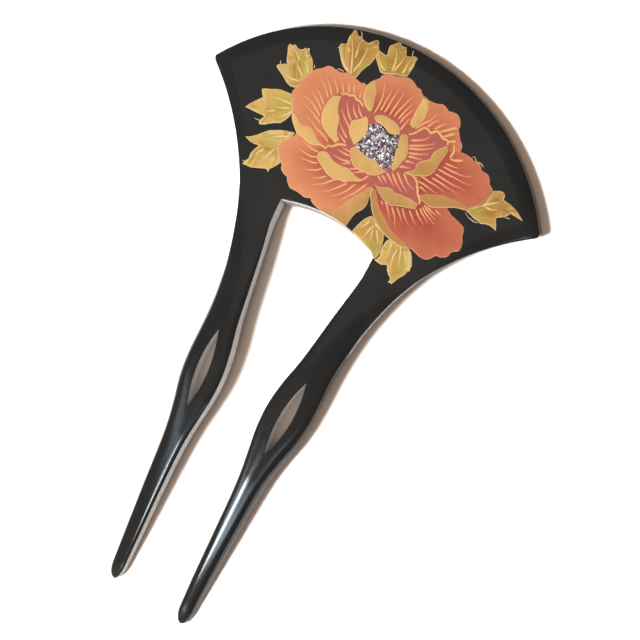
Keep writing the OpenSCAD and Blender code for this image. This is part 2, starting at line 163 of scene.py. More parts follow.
@dataclass
class Surface:
    """Points, quads and point values of a surface, which can be joined and welded."""

    points: Array
    faces: Array
    values: Values = field(default_factory=dict)

    @classmethod
    def grid(cls, points: Array, values: Values | None = None, flip: bool = False, ring: bool = False) -> "Surface":
        """Makes a surface of a grid of points.

        Args:
            points: array (rows, columns, 3) of a function of two parameters.
            values: arrays (rows, columns) of point values.
            flip: turns the faces over.
            ring: joins the last column to the first.

        Returns:
            The surface, facing up where rows run along X and columns along Y.
        """
        rows, cols = points.shape[:2]
        i, j = np.meshgrid(np.arange(rows - 1), np.arange(cols if ring else cols - 1), indexing="ij")
        k = (j + 1) % cols
        quads = np.stack([i * cols + j, (i + 1) * cols + j, (i + 1) * cols + k, i * cols + k], -1).reshape(-1, 4)
        flat = {name: np.asarray(v, float).reshape(-1) for name, v in (values or {}).items()}
        return cls(points.reshape(-1, 3), quads[:, ::-1] if flip else quads, flat)

    @classmethod
    def stack(cls, grids: Array, values: Values) -> "Surface":
        """Makes one surface of many grids of the same size, each closed in itself.

        Args:
            grids: points, array (count, rows, columns, 3), with the last column beside the first.
            values: arrays (count, rows, columns) of point values.

        Returns:
            The surface, facing outwards.
        """
        count, rows, cols = grids.shape[:3]
        one = cls.grid(grids[0], ring=True).faces
        faces = (one[None] + (np.arange(count) * rows * cols)[:, None, None]).reshape(-1, 4)
        flat = {name: np.asarray(v, float).reshape(-1) for name, v in values.items()}
        return cls(grids.reshape(-1, 3), faces, flat).outward()

    @staticmethod
    def join(parts: list["Surface"]) -> "Surface":
        """Joins surfaces.

        Args:
            parts: the surfaces.

        Returns:
            One surface; a value that a part lacks is 0 there.
        """
        names = sorted({n for p in parts for n in p.values})
        starts = np.cumsum([0] + [len(p.points) for p in parts[:-1]])
        return Surface(
            np.concatenate([p.points for p in parts]),
            np.concatenate([p.faces + s for p, s in zip(parts, starts)]),
            {n: np.concatenate([p.values.get(n, np.zeros(len(p.points))) for p in parts]) for n in names},
        )

    def outward(self) -> "Surface":
        """Turns a closed surface over if its faces point inwards.

        Formula: the sign of the sum, over the faces, of the middle of the face times the
        cross product of its diagonals, which is the sign of the volume.

        Returns:
            The surface itself or turned over.
        """
        a, b, c, d = (self.points[self.faces[:, i]] for i in range(4))
        volume = np.sum(np.cross(c - a, d - b) * (a + b + c + d - 4 * self.points.mean(axis=0)))
        return self if volume > 0 else Surface(self.points, self.faces[:, ::-1], self.values)

    def welded(self) -> "Surface":
        """Merges points that coincide and drops faces that have no area left.

        Returns:
            The surface; a face with two corners on one point repeats that corner.
        """
        key = np.round(self.points / WELD).astype(np.int64)
        _, first, back = np.unique(key, axis=0, return_index=True, return_inverse=True)
        faces = back.reshape(-1)[self.faces]
        corners = 1 + np.sum(np.diff(np.sort(faces, axis=1), axis=1) != 0, axis=1)
        return Surface(self.points[first], faces[corners >= 3], {n: v[first] for n, v in self.values.items()})

    def mesh(self, name: str, sharp_deg: float = 60.0) -> bpy.types.Object:
        """Puts the surface into a mesh object in the scene.

        Args:
            name: the object's name.
            sharp_deg: faces that meet at a larger angle than this are shaded apart.

        Returns:
            The object, which sits at the origin.
        """
        closed = self.welded()
        same = closed.faces == np.roll(closed.faces, -1, axis=1)
        thin = same.any(axis=1)
        quads = closed.faces[~thin]
        order = (np.argmax(same[thin], axis=1)[:, None] + np.arange(1, 4)) % 4
        tris = np.take_along_axis(closed.faces[thin], order, axis=1)
        mesh = bpy.data.meshes.new(name)
        mesh.vertices.add(len(closed.points))
        mesh.vertices.foreach_set("co", (closed.points * MM).astype(np.float32).ravel())
        corners = np.concatenate([quads.ravel(), tris.ravel()]).astype(np.int32)
        mesh.loops.add(len(corners))
        mesh.loops.foreach_set("vertex_index", corners)
        starts = np.concatenate([np.arange(len(quads)) * 4, len(quads) * 4 + np.arange(len(tris)) * 3])
        mesh.polygons.add(len(starts))
        mesh.polygons.foreach_set("loop_start", starts.astype(np.int32))
        mesh.polygons.foreach_set("use_smooth", np.ones(len(starts), bool))
        mesh.update(calc_edges=True)
        mesh.validate()
        for key, value in closed.values.items():
            layer = mesh.attributes.new(key, "FLOAT", "POINT")
            layer.data.foreach_set("value", value.astype(np.float32))
        mesh.set_sharp_from_angle(angle=math.radians(sharp_deg))
        obj = bpy.data.objects.new(name, mesh)
        bpy.context.scene.collection.objects.link(obj)
        return obj


def dress(surface: Surface, name: str, material: bpy.types.Material, slot: Slot, *nodes: str,
          sharp_deg: float = 60.0) -> None:
    """Makes a piece, which rides on the pin.

    Args:
        surface: its surface.
        name: its name.
        material: its material.
        slot: its slot in the record; not used.
        nodes: names of the solids it stands for, if any.
        sharp_deg: see Surface.mesh.
    """
    piece = surface.mesh(name, sharp_deg)
    piece.data.materials.append(material)
    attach(piece, "root")
    if nodes:
        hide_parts(*nodes)
    LOG.info("%s: %d points", name, len(piece.data.vertices))


# ------ shader trees


class Socket:
    """A shader value with Python's operators, each of which adds a Math node."""

    def __init__(self, tree: "Shader", out: bpy.types.NodeSocket) -> None:
        """Wraps an output socket of a tree."""
        self.tree, self.out = tree, out

    def _math(self, operation: str, *values: "Socket | float") -> "Socket":
        """Adds a Math node on these values."""
        return self.tree.node("ShaderNodeMath", {"operation": operation}, dict(enumerate(values)))

    def __add__(self, other: "Socket | float") -> "Socket":
        """Sum."""
        return self._math("ADD", self, other)

    __radd__ = __add__

    def __mul__(self, other: "Socket | float") -> "Socket":
        """Product."""
        return self._math("MULTIPLY", self, other)

    __rmul__ = __mul__

    def __sub__(self, other: "Socket | float") -> "Socket":
        """Difference."""
        return self._math("SUBTRACT", self, other)

    def __rsub__(self, other: "Socket | float") -> "Socket":
        """Difference from a number."""
        return self._math("SUBTRACT", other, self)

    def step(self, low: float, high: float) -> "Socket":
        """Smooth step from 0 at low to 1 at high."""
        return self.tree.node("ShaderNodeMapRange", {"interpolation_type": "SMOOTHSTEP"},
                              {"Value": self, "From Min": low, "From Max": high})


class Shader:
    """A material's node tree."""

    def __init__(self, name: str) -> None:
        """Makes a material with an empty tree.

        Args:
            name: the material's name.
        """
        self.material = bpy.data.materials.new(name)
        self.material.use_nodes = True
        self.tree = self.material.node_tree
        self.tree.nodes.clear()

    def node(self, kind: str, settings: dict[str, object] | None = None,
             values: dict[str | int, object] | None = None, output: str | int = 0) -> Socket:
        """Adds a node.

        Args:
            kind: Blender's type of the node.
            settings: its properties, set first; "stops" are a ramp's (place, colour) rows.
            values: links or numbers for its sockets, by name, identifier or number.
            output: name, identifier or number of the socket to return.

        Returns:
            The node's output.
        """
        made = self.tree.nodes.new(kind)
        for key, value in (settings or {}).items():
            if key == "stops":
                stops = made.color_ramp.elements
                for place, colour in value[2:]:
                    stops.new(place)
                for stop, (place, colour) in zip(stops, value):
                    stop.position, stop.color = place, (*colour, 1.0)
            else:
                setattr(made, key, value)
        for key, value in (values or {}).items():
            target = self._find(made.inputs, key)
            if isinstance(value, Socket):
                self.tree.links.new(value.out, target)
            elif isinstance(value, tuple) and target.type == "RGBA":
                target.default_value = (*value, 1.0)
            else:
                target.default_value = value
        return Socket(self, self._find(made.outputs, output))

    @staticmethod
    def _find(sockets: bpy.types.bpy_prop_collection, key: str | int) -> bpy.types.NodeSocket:
        """Finds a socket by number, identifier or name."""
        return sockets[key] if isinstance(key, int) else next(s for s in sockets if key in (s.identifier, s.name))

    def blend(self, factor: Socket | float, a: object, b: object) -> Socket:
        """Mixes two colours by a factor."""
        return self.node("ShaderNodeMix", {"data_type": "RGBA"},
                         {"Factor_Float": factor, "A_Color": a, "B_Color": b}, "Result_Color")

    def place(self) -> Socket:
        """Object coordinates, in metres."""
        return self.node("ShaderNodeTexCoord", output="Object")

    def value(self, name: str) -> Socket:
        """A point value of the mesh."""
        return self.node("ShaderNodeAttribute", {"attribute_name": name}, output="Fac")

    def noise(self, scale: float, detail: float, rough: float = 0.5, stretch: Triple = (1.0, 1.0, 1.0)) -> Socket:
        """Noise on object coordinates.

        Args:
            scale: grains per metre.
            detail: octaves.
            rough: share of the finer octaves.
            stretch: scale along each axis.

        Returns:
            The noise, about 0.5.
        """
        where = self.node("ShaderNodeMapping", None, {"Vector": self.place(), "Scale": stretch})
        return self.node("ShaderNodeTexNoise", None,
                         {"Vector": where, "Scale": scale, "Detail": detail, "Roughness": rough})

    def bump(self, height: Socket, strength: float, distance: float) -> Socket:
        """Turns a height into a normal."""
        return self.node("ShaderNodeBump", None, {"Height": height, "Strength": strength, "Distance": distance})

    def surface(self, **values: object) -> bpy.types.Material:
        """Closes the tree with a Principled shader.

        Args:
            values: links or numbers for its sockets, whose names have _ for a space.

        Returns:
            The material.
        """
        named = {key.replace("_", " "): value for key, value in values.items()}
        shader = self.node("ShaderNodeBsdfPrincipled", None, named)
        self.tree.links.new(shader.out, self.tree.nodes.new("ShaderNodeOutputMaterial").inputs[0])
        return self.material


def linear(*display: float) -> Triple:
    """Linear colour of a display colour, whose shares go from 0 to 255."""
    shares = np.array(display) / 255.0
    return tuple(float(v) for v in np.where(shares <= 0.04045, shares / 12.92, ((shares + 0.055) / 1.055) ** 2.4))


def dimmed(colour: Triple, share: float) -> Triple:
    """A colour times a share of its brightness."""
    return tuple(c * share for c in colour)


# ------ finishes


@dataclass(frozen=True)
class BlackLacquer:
    """Polished black lacquer over a pale blank whose sawn edges are bare; the bare wall of the fork's arch is darkened
    as painted shade.
    """

    tone: Triple = (0.0084, 0.0082, 0.0074)
    # colour of the painted shade on the bare wall of the fork's arch
    bare_tone: Triple = (0.55, 0.54, 0.525)
    shade_tone: Triple = (0.17, 0.155, 0.15)
    gloss_rough: float = 0.09
    worn_rough: float = 0.22
    bare_rough: float = 0.42
    worn_ends: Pair = (-0.0720, -0.0660)  # y in metres, wholly and not at all worn
    ripple: float = 0.00003

    def material(self) -> bpy.types.Material:
        """Builds the material: mottled black, faint ripple, worn tips, bare edges by the point value, and painted
        shade on the fork's arch wall.

        Returns:
            The material, which reads the point values bare and grey; grey darkens the bare walls as painted shade.
        """
        sh = Shader("black_lacquer")
        cloud, fine = sh.noise(90.0, 3.0), sh.noise(900.0, 2.0)
        bare = (sh.value("bare") + (cloud - 0.5) * 0.5).step(0.3, 0.7)
        black = sh.blend(cloud.step(0.3, 0.7), self.tone, dimmed(self.tone, 1.35))
        pale = sh.blend(fine.step(0.3, 0.7), self.bare_tone, dimmed(self.bare_tone, 0.9))
        # painted shade: the bare wall is darkened towards the shade tone where grey is set
        pale = sh.blend(sh.value("grey"), pale, self.shade_tone)
        streaks = sh.noise(260.0, 2.0, 0.5, (3.0, 0.25, 1.0))
        along = sh.node("ShaderNodeSeparateXYZ", None, {"Vector": sh.place()}, "Y")
        worn = 1 - along.step(*self.worn_ends)
        rough = self.gloss_rough + cloud * 0.04 + streaks * 0.03 + worn * self.worn_rough
        ripple = sh.noise(60.0, 1.0) * 0.6 + streaks * 0.25 + fine * 0.03
        return sh.surface(
            Base_Color=sh.blend(bare, black, pale),
            Roughness=rough * (1 - bare) + bare * self.bare_rough,
            Normal=sh.bump(ripple, 0.6, self.ripple),
            IOR=1.5,
        )


@dataclass(frozen=True)
class PetalPaint:
    """Coral paint that is shaded to crimson towards the heart, with a pale line at its rim."""

    coral: Triple = linear(230, 152, 108)
    salmon: Triple = linear(211, 131, 92)
    brick: Triple = linear(182, 87, 66)
    crimson: Triple = linear(158, 68, 54)
    rose: Triple = linear(186, 101, 89)
    pale: Triple = linear(228, 176, 142)
    exposure: float = 0.56
    rose_share: float = 0.8
    rim_share: float = 0.55

    def material(self) -> bpy.types.Material:
        """Builds the material.

        Returns:
            The material, which reads the point values blush, from 0 at the rim, cup and rim.
        """
        sh = Shader("petal_paint")
        grain, cloud = sh.noise(1500.0, 3.0, 0.6), sh.noise(220.0, 3.0)
        blush = sh.value("blush") + (cloud - 0.5) * 0.24 + (grain - 0.5) * 0.16
        stops = [(0.0, self.coral), (0.3, self.salmon), (0.68, self.brick), (1.0, self.crimson)]
        stops = [(place, dimmed(colour, self.exposure)) for place, colour in stops]
        body = sh.node("ShaderNodeValToRGB", {"stops": stops}, {"Fac": blush}, "Color")
        inside = sh.value("cup") * self.rose_share + (cloud - 0.5) * 0.3 * sh.value("cup")
        body = sh.blend(inside, body, dimmed(self.rose, self.exposure))
        rim = sh.value("rim").step(0.1, 1.0) * self.rim_share
        return sh.surface(
            Base_Color=sh.blend(rim, body, dimmed(self.pale, self.exposure)),
            Roughness=0.42 + grain * 0.16,
            Normal=sh.bump(grain * 0.5 + cloud, 0.35, 0.00004),
            IOR=1.45,
        )


@dataclass(frozen=True)
class GoldPaint:
    """Matte gold paint, mottled, green in places, streaked along a leaf, with a pale or peach rim."""

    name: str
    light: Triple
    deep: Triple
    border: Triple
    olive: Triple = linear(176, 166, 74)
    coral: Triple = linear(222, 140, 104)
    dark: Triple = linear(128, 92, 38)
    glint: float = 0.08
    exposure: float = 0.63
    green_cast: float = 0.12
    streaks: float = 0.0

    def material(self) -> bpy.types.Material:
        """Builds the material.

        Returns:
            The material, which reads the point values tone, rim, green and fade, and for its
            streaks way_x, way_y and reach.
        """
        sh = Shader(self.name)
        grain, cloud, patch = sh.noise(2600.0, 2.0, 0.6), sh.noise(260.0, 3.0), sh.noise(140.0, 2.0)
        tone = sh.value("tone") + (cloud - 0.5) * 0.7 + (grain - 0.5) * 0.4
        tints = (self.light, self.deep, self.border, self.olive, self.coral, self.dark)
        light, deep, border, olive, coral, dark = (dimmed(tint, self.exposure) for tint in tints)
        body = sh.blend(tone.step(0.0, 1.0), light, deep)
        body = sh.blend(patch.step(0.5, 0.75) * self.green_cast + sh.value("green") * 0.75, body, olive)
        if self.streaks:
            way = sh.node("ShaderNodeCombineXYZ", None, {
                "X": sh.value("way_x") * 8, "Y": sh.value("way_y") * 8, "Z": sh.value("reach") * 1.6})
            comb = sh.node("ShaderNodeTexNoise", None, {"Vector": way, "Scale": 1.0, "Detail": 3.0, "Roughness": 0.6})
            body = sh.blend((1 - comb.step(0.3, 0.5)) * self.streaks, body, dark)
            body = sh.blend(comb.step(0.52, 0.7) * self.streaks * 0.8, body, border)
        body = sh.blend(sh.value("rim").step(0.1, 1.0) * 0.8, body, border)
        return sh.surface(
            Base_Color=sh.blend(sh.value("fade"), body, coral),
            Metallic=self.glint,
            Roughness=0.5 + grain * 0.15,
            Normal=sh.bump(grain, 0.4, 0.00003),
            IOR=1.45,
        )


@dataclass(frozen=True)
class BrushLine:
    """Paint of the fine raised lines, from one tint to another along the stroke."""

    name: str
    start: Triple
    stop: Triple
    exposure: float = 0.57

    def material(self) -> bpy.types.Material:
        """Builds the material.

        Returns:
            The material, which reads the point value along.
        """
        sh = Shader(self.name)
        grain = sh.noise(2200.0, 2.0, 0.6)
        share = sh.value("along") + (grain - 0.5) * 0.5
        start, stop = dimmed(self.start, self.exposure), dimmed(self.stop, self.exposure)
        return sh.surface(
            Base_Color=sh.blend(share.step(0.0, 1.0), start, stop),
            Roughness=0.42 + grain * 0.12,
            Normal=sh.bump(grain, 0.3, 0.00002),
            IOR=1.45,
        )


@dataclass(frozen=True)
class ShellGrit:
    """Crushed shell under clear lacquer: flakes from near black through violet to white."""

    stops: tuple[tuple[float, Triple], ...] = (
        (0.0, linear(46, 40, 48)), (0.3, linear(88, 78, 88)), (0.55, linear(128, 117, 126)),
        (0.8, linear(174, 167, 170)), (1.0, linear(246, 244, 240)),
    )

    def material(self) -> bpy.types.Material:
        """Builds the material.

        Returns:
            The material, which reads the point value flake, one number for each flake.
        """
        sh = Shader("shell_grit")
        colour = sh.node("ShaderNodeValToRGB", {"stops": self.stops}, {"Fac": sh.value("flake")}, "Color")
        return sh.surface(Base_Color=colour, Metallic=0.2, Roughness=0.24, IOR=1.5)


# ------ the pin


@dataclass
class PinBody:
    """Fan-shaped head and two prongs, one closed skin in millimetres."""

    rim_r: float = 50.5
    head_w: float = 83.7
    head_h: float = 43.8
    flank_dip: float = 1.7
    plate_t: float = 3.0
    bevel_w: float = 3.2
    bevel_d: float = 0.8
    flank_bevel_from: float = 4.0  # above the fork, where the flanks' bevel starts
    flank_bevel_grow: float = 22.0
    prong_len: float = 103.4
    fork_half: float = 12.0
    fork_w: float = 23.05
    fork_rise: float = 2.4
    prong_t: float = 3.396
    tip_t: float = 2.2
    bow: float = 2.0
    slot_len: float = 20.4
    slot_w: float = 3.0
    slot_x: float = 11.45
    slot_down: float = 42.4
    slot_lean: float = 3.2
    slot_fade: float = 8.0  # beyond the slot, until the strips part in the prong's middle
    tip_round: float = 4.6
    core: float = 0.45  # share of the thickness at which a section's middle lies
    rounding_share: float = 0.27  # share of a prong's length over which it becomes round
    own_from: Pair = (0.43, 0.32)  # and after which the left and the right take their own shape
    own_len: float = 0.2
    edge_r: float = 0.3
    back_r: float = 0.2
    prong_edge_share: float = 0.45  # of the edges' radii, left on the prongs
    tip_edge_share: float = 0.02  # and at least left at the tips
    corner_r: float = 1.3
    slant_left: float = 1.35
    slant_right: float = 0.9
    slant_fade: Pair = (1.2, 1.5)  # down and across
    draft_left: Pair = (0.02, 0.5)  # everywhere and near the fork
    draft_right: float = 0.16
    draft_fade: float = 8.0
    draft_power: int = 8
    prong_draft: float = 0.28  # of the left prong's inner wall, further down
    prong_draft_from: float = 20.0
    set_back_w: float = 5.0  # width over which the front follows its set back edge
    bare_up: float = 18.0  # how far the outer walls are bare above the fork
    bare_down: float = 27.0  # and below it
    bare_fade: float = 9.0
    row_gap: float = 0.55
    body_rows: int = 46
    sway: float = 0.5  # of the tips
    # share of the prong's length, inner and outer half width, thickness share
    PRONG_ROWS = np.array([
        [0.000, 12.00, 23.05, 0.0], [0.052, 11.90, 20.90, 0.0], [0.110, 11.05, 19.15, 0.2],
        [0.168, 10.15, 17.85, 0.6], [0.226, 9.30, 17.15, 0.8], [0.284, 8.30, 16.75, 1.0],
        [0.342, 6.95, 16.75, 1.0], [0.400, 6.10, 16.80, 1.0], [0.457, 6.05, 16.35, 1.0],
        [0.515, 6.70, 15.15, 1.0], [0.573, 7.40, 14.15, 1.0], [0.631, 7.75, 13.65, 1.1],
        [0.747, 7.95, 13.10, 1.3], [0.863, 8.05, 12.55, 1.6], [0.946, 8.20, 12.20, 1.9],
        [1.000, 8.35, 12.00, 2.0],
    ])
    # share of the width from the inner edge; front, back, and front further down on the right and on
    # the left prong, as shares of the thickness
    SECTION_ROWS = np.array([
        [0.00, 0.88, 0.05, 0.74, 0.82], [0.10, 0.97, 0.00, 0.915, 0.975], [0.22, 0.99, 0.00, 0.98, 1.00],
        [0.34, 1.00, 0.00, 1.00, 0.97], [0.60, 0.95, 0.00, 0.96, 0.88], [0.80, 0.84, 0.01, 0.79, 0.78],
        [0.93, 0.68, 0.05, 0.50, 0.66], [1.00, 0.48, 0.08, 0.18, 0.50],
    ])
    # share of the way down a wall, whether it is bare there, and whether it takes the painted shade there
    WALL_ROWS = np.array([[0, 0, 0], [0.03, 1, 0], [0.26, 1, 0], [0.30, 1, 1], [0.7, 1, 1], [0.97, 1, 1], [1.0, 0, 0]])
    # places of the grids' lines, closer to the edges: shares of a strip's width and of half the
    # arch, and distances from the rim and from the fork
    STRIP_SHARES = np.array([0, .008, .02, .04, .07, .115, .18, .26, .34, .42, .5,
                             .58, .66, .74, .82, .885, .93, .96, .98, .992, 1.0])
    ARCH_SHARES = np.array([0, .01, .025, .05, .09, .15, .23, .32, .41])
    RIM_GAPS = np.array([0, .03, .08, .16, .27, .42, .62, .86, 1.15, 1.5, 1.9, 2.3, 2.7, 3.1, 3.6])
    FORK_GAPS = np.array([0, .03, .08, .16, .27, .42, .62, .9, 1.3])

    def __post_init__(self) -> None:
        """Works out the places that follow from the sizes."""
        total = self.head_h + self.prong_len
        self.y_top = total / 2
        self.y_fork = self.y_top - self.head_h
        self.rim_y = self.y_top - self.rim_r
        self.corner_angle = math.asin(self.head_w / 2 / self.rim_r)
        self.bow_slope = self.bow / (self.head_h + self.prong_len**2 / (4 * total))
        self.bow_fall = self.bow_slope * total / self.prong_len**2
        corner = np.array([self.head_w / 2, self.rim_y + self.rim_r * math.cos(self.corner_angle)])
        self.flank = corner - np.array([self.fork_w, self.y_fork])
        self.flank_out = np.array([-self.flank[1], self.flank[0]]) / np.linalg.norm(self.flank)
        self.slot_r = ((self.slot_len / 2) ** 2 + (self.slot_w / 2) ** 2) / self.slot_w
        self.lean = math.radians(self.slot_lean)

    def lift(self, y: Array) -> Array:
        """Height of the back: a slope under the head, then a parabola down to the tips."""
        below = np.maximum(0, self.y_fork - y)
        return self.bow_slope * (self.y_top - y) - self.bow_fall * below * below

    def rim(self, angle: Array) -> Array:
        """Plan of the rim's arc at angles from the middle."""
        return np.stack([self.rim_r * np.sin(angle), self.rim_y + self.rim_r * np.cos(angle)], -1)

    def arch(self, x: Array) -> Array:
        """Y of the fork's arch: a parabola between the prongs."""
        return self.y_fork + self.fork_rise * np.maximum(0, 1 - (x / self.fork_half) ** 2)

    def front_arch(self, x: Array) -> Array:
        """Y of the arch's front edge, set back from its foot by a slant that narrows to the right."""
        share = np.clip((x + self.fork_half) / (2 * self.fork_half), 0, 1)
        return self.arch(x) + mix(self.slant_left, self.slant_right, share)

    def head_plan(self, u: Array, t: Array) -> Array:
        """Plan of the head.

        Formula: straight blend from the fork line, at u of its half width, to the rim's arc,
        at u of the corners' angle, plus a parabola in t that hollows the flanks, scaled by u
        squared; near a corner the square grid is bent onto a quarter circle.

        Args:
            u: place across, from -1 to 1, array of the grid's shape.
            t: place from the fork, 0, to the rim, 1.

        Returns:
            Array (..., 2).
        """
        side = np.sign(u)
        low = np.stack([u * self.fork_w, self.arch(u * self.fork_w)], -1)
        dip = (self.flank_dip * 4 * t * (1 - t) * u * u)[..., None] * self.flank_out
        dip = dip * np.stack([side, np.ones_like(u)], -1)
        plan = mix(low, self.rim(u * self.corner_angle), t[..., None]) + dip
        along_rim = (1 - np.abs(u)) * self.corner_angle * self.rim_r
        along_flank = (1 - t) * np.linalg.norm(self.flank)
        a, b = near(along_rim, self.corner_r), near(along_flank, self.corner_r)
        push_a = (a - a * np.sqrt(1 - b * b / 2)) * self.corner_r
        push_b = (b - b * np.sqrt(1 - a * a / 2)) * self.corner_r
        rim_in = np.stack([-side * math.cos(self.corner_angle), np.full_like(u, math.sin(self.corner_angle))], -1)
        down_x, down_y = -self.flank / np.linalg.norm(self.flank)
        flank_in = np.stack([side * down_x, np.full_like(u, down_y)], -1)
        return plan + push_a[..., None] * rim_in + push_b[..., None] * flank_in

    def head_grid(self, across: Array) -> Array:
        """Plan of the head as a grid.

        Args:
            across: x of the columns at the fork line.

        Returns:
            Array (rows, columns, 2), rows from the fork to the rim and closer near both.
        """
        u = across / self.fork_w
        depth = mix(self.head_h - self.fork_rise, np.linalg.norm(self.flank), u * u)
        t_low = self.FORK_GAPS[:, None] / depth
        t_high = 1 - self.RIM_GAPS[::-1][:, None] / depth
        inside = np.linspace(0, 1, self.body_rows + 2)[1:-1][:, None]
        t = np.concatenate([t_low, mix(t_low[-1:], t_high[:1], inside), t_high])
        return self.head_plan(np.broadcast_to(u, t.shape), t)

    def prong_edge(self, down: Array, column: int) -> Array:
        """Inner (1) or outer (2) half width at a distance below the fork, before the tip."""
        return curve(self.PRONG_ROWS[:, 0], self.PRONG_ROWS[:, column], down / self.prong_len)

    def tip_scale(self, down: Array) -> Array:
        """Share of the section left near the tip: a quarter ellipse."""
        return rounded(self.prong_len - down, self.tip_round)

    def slot_half(self, down: Array) -> Array:
        """Half width of the almond slot.

        Formula: the lens of two circles, 0 outside it.

        Args:
            down: distances below the fork.

        Returns:
            The half widths there.
        """
        v = np.abs(down - self.slot_down) / math.cos(self.lean)
        half = np.sqrt(np.maximum(self.slot_r**2 - v * v, 0)) - (self.slot_r - self.slot_w / 2)
        return np.where(v < self.slot_len / 2, np.maximum(half, 0), 0)

    def slot_centre(self, down: Array, middle: Array) -> Array:
        """Distance of the slot's axis from the pin's middle.

        Args:
            down: distances below the fork.
            middle: the prong's middle there, to which the axis is led over beyond the slot.

        Returns:
            The axis's distances there.
        """
        axis = self.slot_x + (self.slot_down - down) * math.tan(self.lean)
        away = (np.abs(down - self.slot_down) - self.slot_len / 2) / self.slot_fade
        return mix(axis, middle, ease(away))

    def rows_down(self) -> Array:
        """Places of a prong's rows.

        Returns:
            Distances below the fork, closer by the fork, the slot and the tip.
        """
        span = math.cos(self.lean) * self.slot_len / 2
        fine = span - np.array([0, 0.02, 0.06, 0.14, 0.26, 0.42, 0.64])
        fine = np.concatenate([self.slot_down + side * fine for side in (-1, 1)])
        tip = self.prong_len - self.tip_round * (1 - np.sin(np.linspace(0, math.pi / 2, 16)))
        rough = np.arange(0, self.prong_len - self.tip_round, self.row_gap)
        apart = np.min(np.abs(rough[:, None] - fine[None]), axis=1) > 0.15
        start = np.array([0.04, 0.1, 0.2, 0.35])
        return np.unique(np.concatenate([rough[apart], fine, tip, start]))

    def skin(self) -> Surface:
        """Builds the closed skin.

        Formula: front and back are one grid in plan; the back lies at the lift, the front
        a thickness above it, less the bevel and the edge's quarter round, which follow the
        distance to the outline; walls join the two along the outline and in the slots. Both
        prongs sway to the right by the cube of the share of their length.

        Returns:
            The skin with the point values bare and grey: bare is 1 on the sawn walls, and grey is 1 on the arch's
            wall, which it darkens as painted shade.
        """
        down = self.rows_down()
        inner, outer = (self.prong_edge(down, column) for column in (1, 2))
        middle, half = (inner + outer) / 2, (outer - inner) / 2 * self.tip_scale(down)
        inner, outer = middle - half, middle + half
        centre, gap = self.slot_centre(down, middle), self.slot_half(down)
        strips = [mix(a[:, None], b[:, None], self.STRIP_SHARES[None])
                  for a, b in ((inner, centre - gap), (centre + gap, outer))]
        arch = np.concatenate([self.ARCH_SHARES, [0.5], 1 - self.ARCH_SHARES[::-1]])
        arch = mix(-self.fork_half, self.fork_half, arch)
        within, beyond = strips[0][0], strips[1][0]
        across = np.concatenate([-beyond[::-1], -within[::-1][1:], arch[1:-1], within, beyond[1:]])
        outline = self.outline(down, inner, outer)

        head = self.head_grid(across)
        top, low = self.sheets(head, outline, *np.zeros((2, *head.shape[:2])))
        parts = [Surface.grid(top, flip=True), Surface.grid(low), self.wall(top[-1], low[-1], 0 * across, False)]
        for column, flip in ((0, False), (-1, True)):
            parts.append(self.wall(top[:, column], low[:, column], self.bare_outer(top[:, column, 1]), flip))
        start = len(within) + len(beyond) - 2
        under = slice(start, start + len(arch))
        # the arch's wall takes painted shade below its upper quarter, which is left pale
        parts.append(self.wall(top[0, under], low[0, under], np.ones(len(arch)), True, grey=1.0))

        ones, slotted, width = np.ones(len(down)), gap > 0, np.maximum(outer - inner, 1e-6)[:, None]
        for side in (-1, 1):
            for i, strip in enumerate(strips):
                plan = np.stack([side * strip, np.broadcast_to((self.y_fork - down)[:, None], strip.shape)], -1)
                f = np.broadcast_to((down / self.prong_len)[:, None], strip.shape)
                top, low = self.sheets(plan, outline, f, (strip - inner[:, None]) / width)
                turn, keep = side > 0, (None, slotted) if i else (slotted, None)
                bare = self.bare_outer(top[:, -1, 1]) if i else ones
                parts += [
                    Surface.grid(top, flip=not turn),
                    Surface.grid(low, flip=turn),
                    self.wall(top[:, 0], low[:, 0], ones, turn, keep[1]),
                    self.wall(top[:, -1], low[:, -1], bare, not turn, keep[0]),
                ]
        whole = Surface.join(parts)
        share = np.clip((self.y_fork - whole.points[:, 1]) / self.prong_len, 0, 1)
        whole.points[:, 0] += self.sway * share**3
        return whole

    def outline(self, down: Array, inner: Array, outer: Array) -> Values:
        """Outline in plan.

        Args:
            down: distances below the fork.
            inner: a prong's inner half width there.
            outer: its outer half width there.

        Returns:
            The rim, both flanks, the notch and both slots, each one polyline, with a row of
            nan between left and right.
        """
        down, inner, outer = down[::2], inner[::2], outer[::2]
        leg, wall = (np.stack([x, self.y_fork - down], -1) for x in (outer, inner))
        flank = np.concatenate([leg[::-1], self.head_plan(np.ones(90), np.linspace(0, 1, 90))[1:]])
        x = np.linspace(-self.fork_half, self.fork_half, 60)
        arch = np.stack([x, self.arch(x)], -1)[1:-1]
        at = self.slot_down + np.linspace(-1, 1, 60) * math.cos(self.lean) * self.slot_len / 2
        centre, half = self.slot_centre(at, np.zeros_like(at)), self.slot_half(at)
        inside, outside = (np.stack([x, self.y_fork - at], -1) for x in (centre - half, centre + half))
        slot = np.concatenate([inside, outside[::-1]])
        apart = np.array([[np.nan, np.nan]])
        return {
            "rim": self.rim(np.linspace(-self.corner_angle, self.corner_angle, 240)),
            "flank": np.concatenate([flank, apart, flank * [-1, 1]]),
            "notch": np.concatenate([(wall * [-1, 1])[::-1], arch, wall]),
            "slot": np.concatenate([slot, apart, slot * [-1, 1]]),
        }

